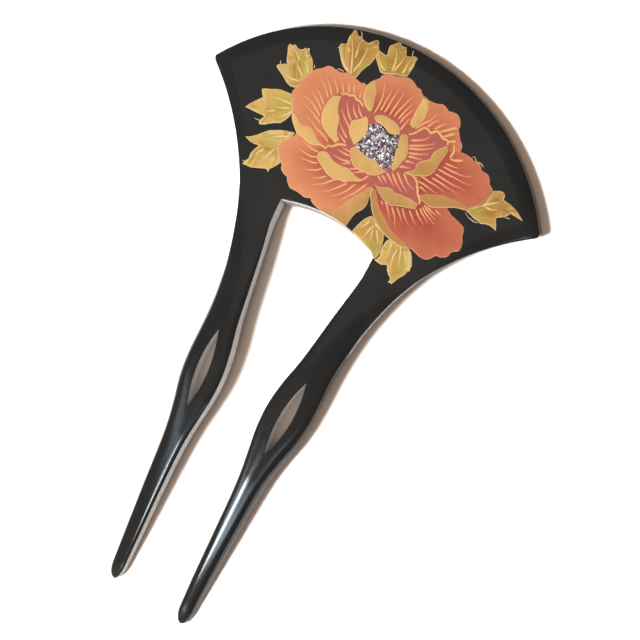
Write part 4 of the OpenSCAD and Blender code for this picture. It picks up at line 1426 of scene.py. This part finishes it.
LEAVES: list[LeafTrace] = [
    LeafTrace(
        [295, 87.7, 290, 86, 286.5, 82.5, 284.3, 78.6, 281.5, 74, 278.8, 70, 276.5, 66.5, 277.5, 64.5, 280.3, 63.9,
         284, 63.7, 287, 63.5, 286.5, 60, 287, 56.5, 287.6, 51.5, 287.8, 47.5, 289.6, 43.6, 291.8, 45, 295.6, 44.6,
         297.2, 47, 299.8, 49.2, 303.5, 49, 304.6, 47.6, 306.4, 48.6, 309.7, 48, 309.6, 52.5, 311.6, 57.2, 312.8, 61,
         313, 66, 312.8, 70.6, 309.1, 75.2, 303.7, 79.6, 299, 86],
        [297, 82, 299, 60],
        [[293, 60.9, 297, 62, 298.3, 66.8, 300.3, 71.3, 302.5, 76.5],
         [307.5, 61, 308, 67, 308, 73.5],
         [283, 68, 287, 74.5, 291.5, 78.3, 295.5, 79.8, 299.3, 81],
         [294.5, 49, 298, 55, 299.5, 61],
         [305.5, 50.5, 306.5, 54, 307.8, 58]],
        (302, 64, 7), 0.39),
    LeafTrace(
        [245.1, 106.7, 248.5, 104.2, 251.5, 102.4, 256.9, 99.7, 262.6, 96.8, 261.9, 92.5, 262, 88.6, 266, 88.3,
         271, 88.8, 277, 88.9, 282.3, 90, 287.7, 92.2, 291.5, 94, 293.5, 99, 293, 105, 293, 110.5, 290.4, 115.6,
         285.5, 119.8, 280.5, 122.8, 274.5, 123, 268.9, 123.7, 264, 124.6, 258.9, 123.8, 259.2, 120.5, 261.5, 118.3,
         264.8, 116.6, 261.5, 114.8, 256.5, 112.4, 251.5, 110],
        [286, 106.5, 272, 111.3],
        [[272, 95.8, 276.3, 97.8, 281.3, 99.3, 285.8, 101.3, 289.3, 102.8, 292.8, 104.6],
         [274, 106.3, 279, 107.3, 284.8, 107.8, 289.8, 107.3],
         [274, 118.3, 278.3, 117.3, 282.3, 115.8, 286.3, 114.3, 289.8, 112.8, 292.3, 111.3],
         [266, 111, 270, 111, 275, 110]],
        (280, 106, 9), 0.2),
    LeafTrace(
        [245.1, 136.3, 250.2, 136.2, 256.9, 134.6, 263.6, 131.9, 269, 130.2, 275, 129.9, 281, 129.9, 289, 131.2,
         295, 132.9, 289, 138, 281, 142, 278.2, 148, 279.6, 157, 280.8, 161.3, 279.3, 163.4, 276.5, 165.4,
         272.9, 167.4, 269.6, 169, 267.6, 172, 266.4, 169, 262.2, 168.4, 255.5, 167.8, 250.5, 167.2, 246, 165.2,
         242.1, 163.4, 246, 161.5, 248.6, 158, 250.3, 153.5, 253.5, 149.6, 256.9, 146.8, 258.6, 145.2, 254.2, 143.9,
         250.3, 141.6, 247.5, 139],
        [277, 150, 264, 145.5],
        [[268, 139, 272, 137.4, 276.8, 136.6, 282.3, 136.1, 288.3, 136.5],
         [258, 163, 262, 160, 266.2, 156, 270.9, 152, 275, 149],
         [268, 166, 271.5, 162, 274.5, 157],
         [254, 157, 258, 152.5, 264, 149]],
        (271, 140, 6), 0.25),
    LeafTrace(
        [350.6, 76.3, 346.6, 71.6, 343.2, 66.5, 341.3, 61.5, 339.9, 54.2, 339.1, 48.3, 339.7, 45, 342.2, 43.2,
         344.5, 43.9, 346.7, 43.4, 347.8, 40, 349.3, 36.4, 352, 33.6, 353.6, 30.8, 355.8, 29, 357.2, 31, 357.4, 33.8,
         359.3, 36.4, 361.5, 36.6, 363.2, 39.2, 366, 41.6, 368.7, 43.5, 371.6, 43, 374.5, 40.8, 377.6, 40, 379.2, 42,
         378.8, 47, 379.5, 51, 377, 55, 375.4, 57.5, 373, 61.2, 370, 64.5, 365.6, 67.6, 361.5, 71.3, 358, 75.5,
         355.3, 78.3],
        [352.5, 73, 356, 48],
        [[341.8, 47, 342.2, 54, 343.3, 60, 345.3, 65.8, 347.3, 69.3, 349.3, 71.8],
         [352.6, 38, 352.6, 44.8, 352.6, 55.5, 351.8, 65.8, 350.8, 75.2],
         [360, 42.5, 357.8, 50, 355.3, 58],
         [368.7, 45, 366.5, 51.5, 362.8, 58.5, 359.3, 64.3, 355.8, 68.3, 352.8, 72.8],
         [347.5, 45, 349.5, 52]],
        (363, 65, 5), 0.63),
    LeafTrace(
        [379.5, 50.6, 382, 52.3, 384.6, 54.6, 386.7, 55.2, 387.9, 52, 389, 48, 390.5, 45.4, 393.5, 44.2, 396.8, 42.8,
         399.5, 40, 402.5, 41.5, 401.2, 44.8, 403.4, 46.6, 406.4, 47.3, 406.7, 51.5, 406.7, 56, 410, 56.6, 414.5, 56.4,
         417.6, 58.4, 415.6, 62, 414, 66.5, 411, 71, 407.3, 76.2, 402, 76.4, 396, 74.8, 389, 74, 383, 73.6, 380, 72,
         378.6, 67.5, 377, 62, 375.6, 57.5, 378.4, 52],
        [392, 68, 398, 60],
        [[378.6, 54, 379.8, 60.3, 381.3, 64.8, 383.3, 68.3, 385.5, 71],
         [396.3, 48, 396.6, 55, 395.8, 61.3, 393.8, 66.8, 391.8, 72.2],
         [405.5, 55.5, 401.8, 62, 397.3, 67.3, 394, 71.5],
         [410.5, 60, 408, 64, 405, 69.5, 401.8, 74.5],
         [415.3, 60.3, 412.3, 66.4, 408.6, 71.5]],
        (385, 66, 5), 0.66),
    LeafTrace(
        [493.2, 190.9, 496.5, 190.9, 500.5, 191, 503.6, 192.4, 505, 194.8, 504.6, 197.6, 503.2, 199.4, 506.4, 201.8,
         510.4, 204.6, 514.4, 208.6, 518, 212.6, 520.3, 216.6, 522.9, 221.4, 520.2, 219.3, 517.3, 216.2, 514.3, 214.9,
         511.6, 213.3, 508.4, 215.4, 503.3, 217.3, 496.3, 218.2, 496.2, 224.5, 495.7, 230.9, 493.2, 228.4,
         489.9, 225.9, 485.2, 224.2, 480.5, 223.9, 478, 221.4, 474.6, 219.2, 471.6, 216.3, 468.6, 213.1, 465.9, 210.4,
         469.4, 208.7, 475.5, 206.8, 481.2, 204.9, 486.2, 201.1, 490, 196],
        [476, 212, 500, 208],
        [[501, 202, 494, 203.4, 487, 204.5, 482, 206.5],
         [498, 210, 491, 209.6, 485, 207],
         [486, 202.5, 490, 203.8, 494.5, 202.6]],
        (475.5, 213.5, 5.5), 0.64),
    LeafTrace(
        [352, 231, 355, 227.5, 358, 224.5, 361, 221.5, 365, 218.5, 369, 216.6, 372.2, 216, 374, 219, 377, 224,
         380.5, 229, 383.3, 233, 384, 236, 383.5, 240, 382.5, 244, 381, 248, 380, 251, 379.3, 254, 377, 256.8,
         374, 259, 372.5, 257.5, 370.3, 253, 367, 248.7, 362.5, 243.5, 357.5, 237.7],
        [372, 226, 375, 244],
        [[359.8, 228.8, 362.3, 226.8, 366.3, 223.8, 370.3, 220.8],
         [362.3, 238.3, 365.3, 234.8, 368.3, 231.3, 370.8, 228.3, 374.3, 225.8],
         [370.8, 241.3, 371.3, 237.3, 371.8, 233.3, 373.3, 229.8],
         [377.6, 246, 377.8, 238.3, 377.1, 234.3, 376.6, 229.8],
         [380.3, 230.8, 378.3, 227.3, 375, 223.3]],
        (375, 250, 7), 0.41),
    LeafTrace(
        [374.2, 260, 377.5, 258, 379.8, 255.6, 380.6, 250.1, 383, 245.4, 385.5, 241.8, 388.3, 239.5, 391.5, 239,
         395, 242.6, 400, 245.6, 406, 247.6, 410, 250.3, 411.7, 255, 412, 260.5, 411.7, 266.2, 410, 269.6,
         409.8, 271.4, 407.5, 270.8, 406.3, 273.3, 403.6, 275.8, 400.3, 277.4, 397, 279.6, 393.8, 282.2, 391.6, 284.1,
         389.8, 283, 388, 282.2, 389.3, 280, 390, 278.6, 388.3, 275.2, 387, 271, 386.8, 265.2, 383.6, 264.8,
         380.6, 264.5, 377.6, 262.6],
        [395, 252, 395, 272],
        [[386, 258, 389, 251, 391.6, 244.5, 392.6, 241.3],
         [389.8, 276, 390.8, 266, 393.3, 256.8, 397.3, 249],
         [397.5, 270, 399, 262, 400.6, 253, 400.6, 246.3],
         [405.3, 268, 405.6, 259, 404, 251]],
        (399, 262, 5), 0.32),
]


@dataclass(frozen=True)
class PetalShade:
    """Blush of a petal at its rim, outside the turned edges and inside the cup."""

    rim: float
    turn: float
    cup: float


# the petals to the right and below have deeper rims, partly their own paint and partly painted shade standing in for
# the sheen that brightens the left of the head
PETAL_SHADES = [
    PetalShade(0.12, 0.44, 0.72), PetalShade(0.22, 0.80, 0.70), PetalShade(0.24, 0.62, 0.86),
    PetalShade(0.44, 1.0, 0.92), PetalShade(0.46, 1.0, 0.88), PetalShade(0.02, 0.74, 0.75),
]
# how deep the gold of each turned edge and each part of the ring is
EDGE_TONES = [0.1, 0.65, 0.65, 0.6, 0.2, 0.1, 0.3, 0.3, 1.0, 0.9]
RING_TONES = [0.1, 0.3, 0.35, 0.3]


@dataclass(frozen=True)
class Brush:
    """How a set of raised strokes is drawn, in mm."""

    width: float
    level: float  # height of the strokes' middle over the face
    ends: Pair  # share of the width at the first and the last end
    steps: int = 14
    half_thick: float = 0.05


@dataclass
class Peony:
    """The painted flower, its gold lips and ring, its shell heart and its leaves."""

    face: Face = field(default_factory=Face)
    heart_r: float = 4.4
    chips: int = 640
    chip_r: float = 0.40
    petal_step: float = 0.006  # each petal lies this much higher than the one before it
    rim_w: float = 0.42
    band_rim_w: float = 0.38
    fade_share: float = 0.55  # share of a turned edge's width over which it fades
    petal_points: int = 220
    band_points: int = 90
    heart_points: int = 101
    leaf_points: int = 241
    seed: int = 11

    def cup(self, plan: Array) -> Array:
        """Reach of the flower's cupped inside in the direction of each point.

        Formula: the traced edge's distance from the heart, read at the point's direction.

        Args:
            plan: array (..., 2) in mm from the heart.

        Returns:
            The reach, of the points' leading shape.
        """
        edge = self.face.laid(CUP_EDGE)
        angle = np.unwrap(np.arctan2(edge[:, 1], edge[:, 0]))
        order = np.argsort(angle)
        keys, reach = angle[order], np.linalg.norm(edge, axis=1)[order]
        want = np.arctan2(plan[..., 1], plan[..., 0])
        want = keys[0] + np.mod(want - keys[0], 2 * math.pi)
        return np.interp(want, keys, reach)

    def petal(self, number: int) -> Surface:
        """Petal as a ruled surface from the heart's circle to its edge.

        Formula: straight blend between the circle's point in the direction of a place on the
        edge and that place, with closer rows near the edge; the relief is flat with a rounded
        rim. Blush rises from the rim to the cup's edge and again towards the heart.

        Args:
            number: place of the petal in the tables.

        Returns:
            The petal with the point values blush, cup and rim.
        """
        line = even(self.face.laid(PETAL_EDGES[number]), self.petal_points)
        angle = np.unwrap(np.arctan2(line[:, 1], line[:, 0]))
        angle = np.linspace(angle[0], angle[-1], len(line)) * 0.3 + angle * 0.7
        inner = self.heart_r * np.stack([np.cos(angle), np.sin(angle)], -1)
        length = np.linalg.norm(line - inner, axis=1)
        gaps = np.array([1.6, 1.1, 0.75, 0.5, 0.34, 0.22, 0.12, 0.05, 0.0])[:, None] / length[None]
        far = np.linspace(0, 1, 24)[:, None] * (1 - gaps[:1])
        plan = mix(inner[None], line[None], np.concatenate([far, 1 - gaps[1:]])[..., None])
        edge, reach, cup = distance_to(plan, line), np.linalg.norm(plan, axis=-1), self.cup(plan)
        outside = (reach - cup) / np.maximum(reach + edge - cup, 0.5)
        shade = PETAL_SHADES[number]
        deep = shade.cup + 0.15 * near(reach, cup)
        blush = mix(shade.turn, shade.rim, np.clip(outside, 0, 1) ** 0.95)
        past = ease((reach - cup + 0.15) / 0.5)
        values = {"blush": mix(deep, blush, past), "cup": 1 - past, "rim": near(edge, self.rim_w)}
        return self.face.slab(plan, PETAL.height(edge) + self.petal_step * number, values)

    def band(self, edges: tuple[Line, Line], layer: Layer, tone: float, fade: float = 0.0) -> Surface:
        """Turned edge or part of the ring: a ruled surface between two traced edges.

        Formula: straight blend of the two edges at the same share of their lengths; the
        relief is a low ridge with rounded sides.

        Args:
            edges: the two edges, in the same direction.
            layer: height of the ridge.
            tone: how deep its gold is.
            fade: how far the first edge fades into the petal, from 0 to 1.

        Returns:
            The surface with the point values tone, rim and fade.
        """
        first, last = (even(self.face.laid(edge), self.band_points) for edge in edges)
        share = np.array([0, .02, .06, .12, .22, .35, .5, .65, .78, .88, .94, .98, 1.0])
        plan = mix(first[:, None], last[:, None], share[None, :, None])
        edge = np.minimum(share, 1 - share)[None] * np.linalg.norm(last - first, axis=1)[:, None]
        soft = fade * near(share, self.fade_share)
        rim = near(edge, self.band_rim_w) * (soft <= 0)
        return self.face.slab(plan, layer.height(edge), {"tone": tone + share * 0.15, "rim": rim, "fade": soft})

    @staticmethod
    def fan(inner: Array, closed: Array, *share: float) -> tuple[Array, Array]:
        """Ringed grid of straight blends from inside a closed line to that line.

        Args:
            inner: a point, or one for each of the line's.
            closed: the line, whose last point is its first.
            share: the rows' places between the two.

        Returns:
            The grid and its points' distances to the line.
        """
        plan = mix(inner, closed[None, :-1], np.array(share)[:, None, None])
        return plan, distance_to(plan, closed)

    def heart_edge(self) -> Array:
        """The shell heart's edge as a closed line, in mm from the heart."""
        return even(self.face.laid([*SHELL_EDGE, *SHELL_EDGE[:2]]), self.heart_points)

    def bed(self) -> Surface:
        """Bed of the shell heart: a fan from its middle to its edge.

        Returns:
            The bed with the point value flake, the same all over.
        """
        line = self.heart_edge()
        plan, edge = self.fan(line[:-1].mean(axis=0), line, 0.0, 0.3, 0.6, 0.85, 0.95, 1.0)
        return self.face.slab(plan, SHELL.height(edge), {"flake": 0.12}, ring=True)

    def grit(self) -> Surface:
        """Crushed shell: many thin chips strewn over the bed.

        Formula: each chip is a five-sided disc of its own size, turn and tilt, closed by a
        middle point above and one below; chips that would cross the bed's edge are left out.

        Returns:
            The chips with the point value flake, one number for each.
        """
        rng = np.random.default_rng(self.seed)
        line = self.heart_edge()
        spots = rng.uniform(line.min(axis=0), line.max(axis=0), (self.chips * 3, 2))
        around = line[None] - spots[:, None]
        ahead = np.roll(around, -1, axis=1)
        turned = np.arctan2(np.cross(around, ahead), np.sum(around * ahead, axis=2)).sum(axis=1)
        size = self.chip_r * rng.uniform(0.45, 1.2, len(spots))
        keep = (np.abs(turned) > 3) & (distance_to(spots, line) > size * 0.55)
        spots, size = spots[keep][:self.chips], size[keep][:self.chips]
        count = len(spots)
        turn = np.arange(5)[None] * 2 * math.pi / 5 + rng.uniform(0, 6.3, (count, 1))
        turn = turn + rng.uniform(-0.4, 0.4, (count, 5))
        reach = size[:, None] * rng.uniform(0.65, 1.1, (count, 5))
        scale = np.array([0.0, 1.0, 1.0, 0.0])[None, :, None]
        x, y = scale * (reach * np.cos(turn))[:, None], scale * (reach * np.sin(turn))[:, None]
        plan = spots[:, None, None] + np.stack([x, y], -1)
        lean = rng.normal(0, 0.11, (count, 2, 1, 1))
        thick = np.array([0.05, 0.04, -0.04, -0.05])[None, :, None]
        level = SHELL.level + 0.03 + rng.uniform(0, 0.07, (count, 1, 1))
        height = level + thick + lean[:, 0] * x + lean[:, 1] * y
        flake = np.broadcast_to(rng.uniform(0, 1, (count, 1, 1)), height.shape)
        return Surface.stack(self.face.on(plan, height), {"flake": flake})

    def strokes(self, lines: list[Line], brush: Brush) -> Surface:
        """Raised strokes of a fine brush.

        Formula: an ellipse carried along each line, whose width grows from a share at the
        first end to the whole at two thirds of the way and narrows to a share at the last;
        both ends close on a point.

        Args:
            lines: the strokes, from where the brush is set down lightly.
            brush: how they are drawn.

        Returns:
            The strokes with the point value along, 0 at the first end and 1 at the last.
        """
        paths = np.stack([even(self.face.laid(line), brush.steps) for line in lines])
        ahead = np.gradient(paths, axis=1)
        ahead = ahead / np.maximum(np.linalg.norm(ahead, axis=-1, keepdims=True), 1e-9)
        side = np.stack([-ahead[..., 1], ahead[..., 0]], -1)
        s = np.linspace(0, 1, brush.steps)
        swell = np.interp(s, [0, 0.65, 1], [brush.ends[0], 1, brush.ends[1]])
        swell[[0, -1]] = 0
        turn = np.arange(8) * math.pi / 4
        out = (brush.width / 2 * swell[:, None] * np.cos(turn))[None]
        plan = paths[:, :, None] + side[:, :, None] * out[..., None]
        height = brush.level + (brush.half_thick * swell[:, None] * np.sin(turn))[None]
        height = np.broadcast_to(height, plan.shape[:-1])
        along = np.broadcast_to(s[None, :, None], height.shape)
        return Surface.stack(self.face.on(plan, height), {"along": along})

    def leaf(self, trace: LeafTrace) -> Surface:
        """Leaf as a fan from its rib to its edge.

        Formula: each place on the edge is joined to the nearest place on the rib; the relief
        rises from the edge.

        Args:
            trace: the leaf's lines and looks.

        Returns:
            The leaf with the point values tone, rim and green, and for its streaks reach, 0 at
            the rib and 1 at the edge, and the way between them, way_x and way_y.
        """
        closed = even(self.face.laid([*trace.edge, *trace.edge[:2]]), self.leaf_points, 0.6)
        line, rib = closed[:-1], self.face.laid(trace.rib)
        run = rib[1] - rib[0]
        inner = rib[0] + np.clip((line - rib[0]) @ run / (run @ run), 0, 1)[:, None] * run
        share = (0.0, 0.2, 0.4, 0.58, 0.72, 0.83, 0.91, 0.96, 0.985, 1.0)
        plan, edge = self.fan(inner[None], closed, *share)
        reach = np.array(share)[:, None]
        *spot, size = trace.green
        green = np.exp(-np.sum((plan - self.face.laid(spot)[0]) ** 2, axis=-1) / (size / 3.7) ** 2)
        way = (line - inner) / np.maximum(np.linalg.norm(line - inner, axis=1, keepdims=True), 1e-9)
        values = {"tone": trace.tone + 0.25 * (1 - reach), "rim": near(edge, self.rim_w), "green": green,
                  "reach": reach, "way_x": way[:, 0], "way_y": way[:, 1]}
        return self.face.slab(plan, LEAF.height(edge), values, ring=True)

    def build(self) -> None:
        """Makes every painted piece in place of its solid."""
        paint = PetalPaint().material()
        gold = GoldPaint("matte_gold", linear(224, 183, 114), linear(180, 134, 76), linear(232, 186, 132)).material()
        leaf = GoldPaint("leaf_gold", linear(216, 182, 102), linear(176, 126, 56), linear(224, 200, 146),
                         green_cast=0.3, streaks=0.75).material()
        grit = ShellGrit().material()
        for i in range(len(PETAL_EDGES)):
            dress(self.petal(i), f"peony_petal_{i + 1}", paint, Slot.CORAL, f"petal_{i + 1}")
        for i, (edges, tone, fade) in enumerate(zip(TURNED_EDGES, EDGE_TONES, EDGE_FADES)):
            band = self.band(edges, LIP, tone, fade)
            dress(band, f"turned_edge_{i + 1}", gold, Slot.GOLD, f"gold_lip_{i + 1}")
        for i, (edges, tone) in enumerate(zip(HEART_RINGS, RING_TONES)):
            dress(self.band(edges, RING, tone), f"heart_ring_{i + 1}", gold, Slot.GOLD, f"gold_ring_{i + 1}")
        dress(self.bed(), "shell_bed", grit, Slot.SHELL, "shell_heart")
        dress(self.grit(), "crushed_shell", grit, Slot.SHELL)
        for i, trace in enumerate(LEAVES):
            dress(self.leaf(trace), f"gilt_leaf_{i + 1}", leaf, Slot.LEAF, f"leaf_{i + 1}")
        faint = BrushLine("vein_on_coral", linear(236, 158, 112), linear(240, 176, 120)).material()
        bright = BrushLine("vein_on_crimson", linear(222, 138, 104), linear(240, 172, 124)).material()
        wave = BrushLine("wave_gold", linear(228, 176, 108), linear(232, 184, 116)).material()
        rib = BrushLine("rib_gold", linear(222, 188, 116), linear(238, 208, 142)).material()
        pale = BrushLine("hair_cream", linear(206, 186, 150), linear(214, 196, 166)).material()
        on_petal, leaf_veins = PETAL.level + 0.02, [vein for trace in LEAVES for vein in trace.veins]
        for name, lines, brush, material, slot in (
            ("veins_on_coral", VEINS_OUTER, Brush(0.44, on_petal, (0.35, 0.8)), faint, Slot.CORAL),
            ("veins_of_top_petal", VEINS_TOP, Brush(0.44, on_petal, (0.35, 0.8)), faint, Slot.CORAL),
            ("veins_in_cup", VEINS_CUP, Brush(0.5, on_petal, (0.4, 0.8)), bright, Slot.CORAL),
            ("veins_on_crimson", VEINS_RIGHT, Brush(0.42, on_petal, (0.3, 0.8)), bright, Slot.CORAL),
            ("gold_waves", GOLD_WAVES, Brush(0.55, on_petal + 0.02, (0.7, 0.7), 40), wave, Slot.GOLD),
            ("leaf_veins", leaf_veins, Brush(0.42, LEAF.level + 0.01, (0.3, 0.7)), rib, Slot.LEAF),
            ("tendrils", HAIRS, Brush(0.24, 0.03, (0.4, 0.6), half_thick=0.04), pale, Slot.LEAF),
        ):
            dress(self.strokes(lines, brush), name, material, slot)


# ------ studio


class Seen(Enum):
    """Which light paths meet a lamp."""

    MATT = "matt"
    GLOSS = "gloss"


@dataclass(frozen=True)
class Card:
    """Glowing card that only reflections meet, by its angles from the pin in degrees."""

    left: float
    right: float
    low: float
    high: float
    glow: float


# one inside the other, so that the sheen fades to both sides
CARDS = [
    Card(-26, 18, -38, -32.5, 2.6), Card(-31, 23, -38, -32, 2.4),
    Card(-38, 28, -38.5, -31.5, 2.2), Card(-46, 36, -39.5, -30.5, 1.5),
]


@dataclass
class Studio:
    """Floor, lights and camera."""

    sight: Sight = field(default_factory=Sight)
    light_way: Triple = (-0.50, -0.49, 1.0)
    lamp_far: float = 1.2
    floor_half: float = 1.5
    room: Triple = (0.17, 0.17, 0.175)
    warm: Triple = (1.0, 0.53, 0.2)
    bluish: Triple = (0.72, 0.93, 1.1)

    def floor(self) -> None:
        """Plain pale floor under the pin."""
        h = self.floor_half / MM
        line = np.linspace(-h, h, 9)
        x, y = np.meshgrid(line, line, indexing="ij")
        sheet = Surface.grid(np.stack([x, y, np.full_like(x, -0.01)], -1)).mesh("floor")
        sh = Shader("pale_floor")
        tone = sh.blend(sh.noise(40.0, 2.0), (0.86, 0.855, 0.85), (0.88, 0.875, 0.87))
        sheet.data.materials.append(sh.surface(Base_Color=tone, Roughness=0.8))

    @staticmethod
    def towards(across: float, upright: float) -> Triple:
        """Direction at an angle across, about Y, and an angle out of that circle, in degrees."""
        a, b = math.radians(across), math.radians(upright)
        return math.sin(a) * math.cos(b), math.sin(b), math.cos(a) * math.cos(b)

    def lamp(self, name: str, way: Triple, spread: Pair, glow: float, seen: Seen,
             tint: Triple = (1.0, 1.0, 1.0)) -> None:
        """Area light that looks at the pin from a direction.

        Args:
            name: the lamp's name.
            way: direction from the pin.
            spread: its angles across, along X and upright, in degrees, as seen from the pin.
            glow: brightness of its face.
            seen: which light paths meet it.
            tint: its colour.
        """
        data = bpy.data.lights.new(name, "AREA")
        wide, high = (2 * self.lamp_far * math.tan(math.radians(angle) / 2) for angle in spread)
        data.shape, data.size, data.size_y, data.color = "ELLIPSE", wide, high, tint
        data.energy = glow * math.pi * math.pi / 4 * wide * high
        lamp = bpy.data.objects.new(name, data)
        back = Vector(way).normalized()
        across = (Vector((1, 0, 0)) - back * back.x).normalized()
        turn = Matrix((across, back.cross(across), back)).transposed().to_4x4()
        lamp.matrix_world = Matrix.Translation(back * self.lamp_far) @ turn
        lamp.visible_diffuse = seen is Seen.MATT
        lamp.visible_glossy = seen is Seen.GLOSS
        bpy.context.scene.collection.objects.link(lamp)

    def camera(self) -> None:
        """Camera at the picture's viewing angle."""
        data = bpy.data.cameras.new("camera")
        data.lens, data.sensor_width, data.sensor_fit = self.sight.lens, self.sight.film, "HORIZONTAL"
        data.clip_start, data.clip_end = 0.01, 10.0
        cam = bpy.data.objects.new("camera", data)
        turn = Matrix([Vector(axis) for axis in self.sight.axes()]).transposed().to_4x4()
        cam.matrix_world = Matrix.Translation(Vector(self.sight.eye) * MM) @ turn
        bpy.context.scene.collection.objects.link(cam)
        bpy.context.scene.camera = cam

    def build(self) -> None:
        """Sets up floor, lights, room and camera."""
        scene = bpy.context.scene
        scene.view_settings.view_transform = "Standard"
        scene.world = bpy.data.worlds.new("room")
        scene.world.use_nodes = True
        scene.world.node_tree.nodes["Background"].inputs["Color"].default_value = (*self.room, 1.0)
        self.floor()
        self.lamp("window", self.light_way, (15.0, 15.0), 115.0, Seen.MATT)
        self.lamp("warm_fill", (0.1, 0.1, 1.0), (60.0, 60.0), 0.76, Seen.MATT, self.warm)
        self.lamp("strip", self.towards(-12.5, -34.0), (4.5, 11.0), 45.0, Seen.GLOSS)
        self.lamp("ceiling", (-0.25, -0.1, 0.96), (23.0, 23.0), 0.22, Seen.GLOSS)
        for i, card in enumerate(CARDS):
            way = self.towards((card.left + card.right) / 2, (card.low + card.high) / 2)
            spread = (card.right - card.left, card.high - card.low)
            self.lamp(f"card_{i + 1}", way, spread, card.glow, Seen.GLOSS, self.bluish)
        self.camera()


def main() -> None:
    """Loads the frame, builds the pin, the painting and the studio."""
    logging.basicConfig(level=logging.INFO, format="%(name)s: %(message)s")
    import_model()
    Studio().build()
    PinBody().build()
    Peony().build()


if __name__ == "__main__":
    main()
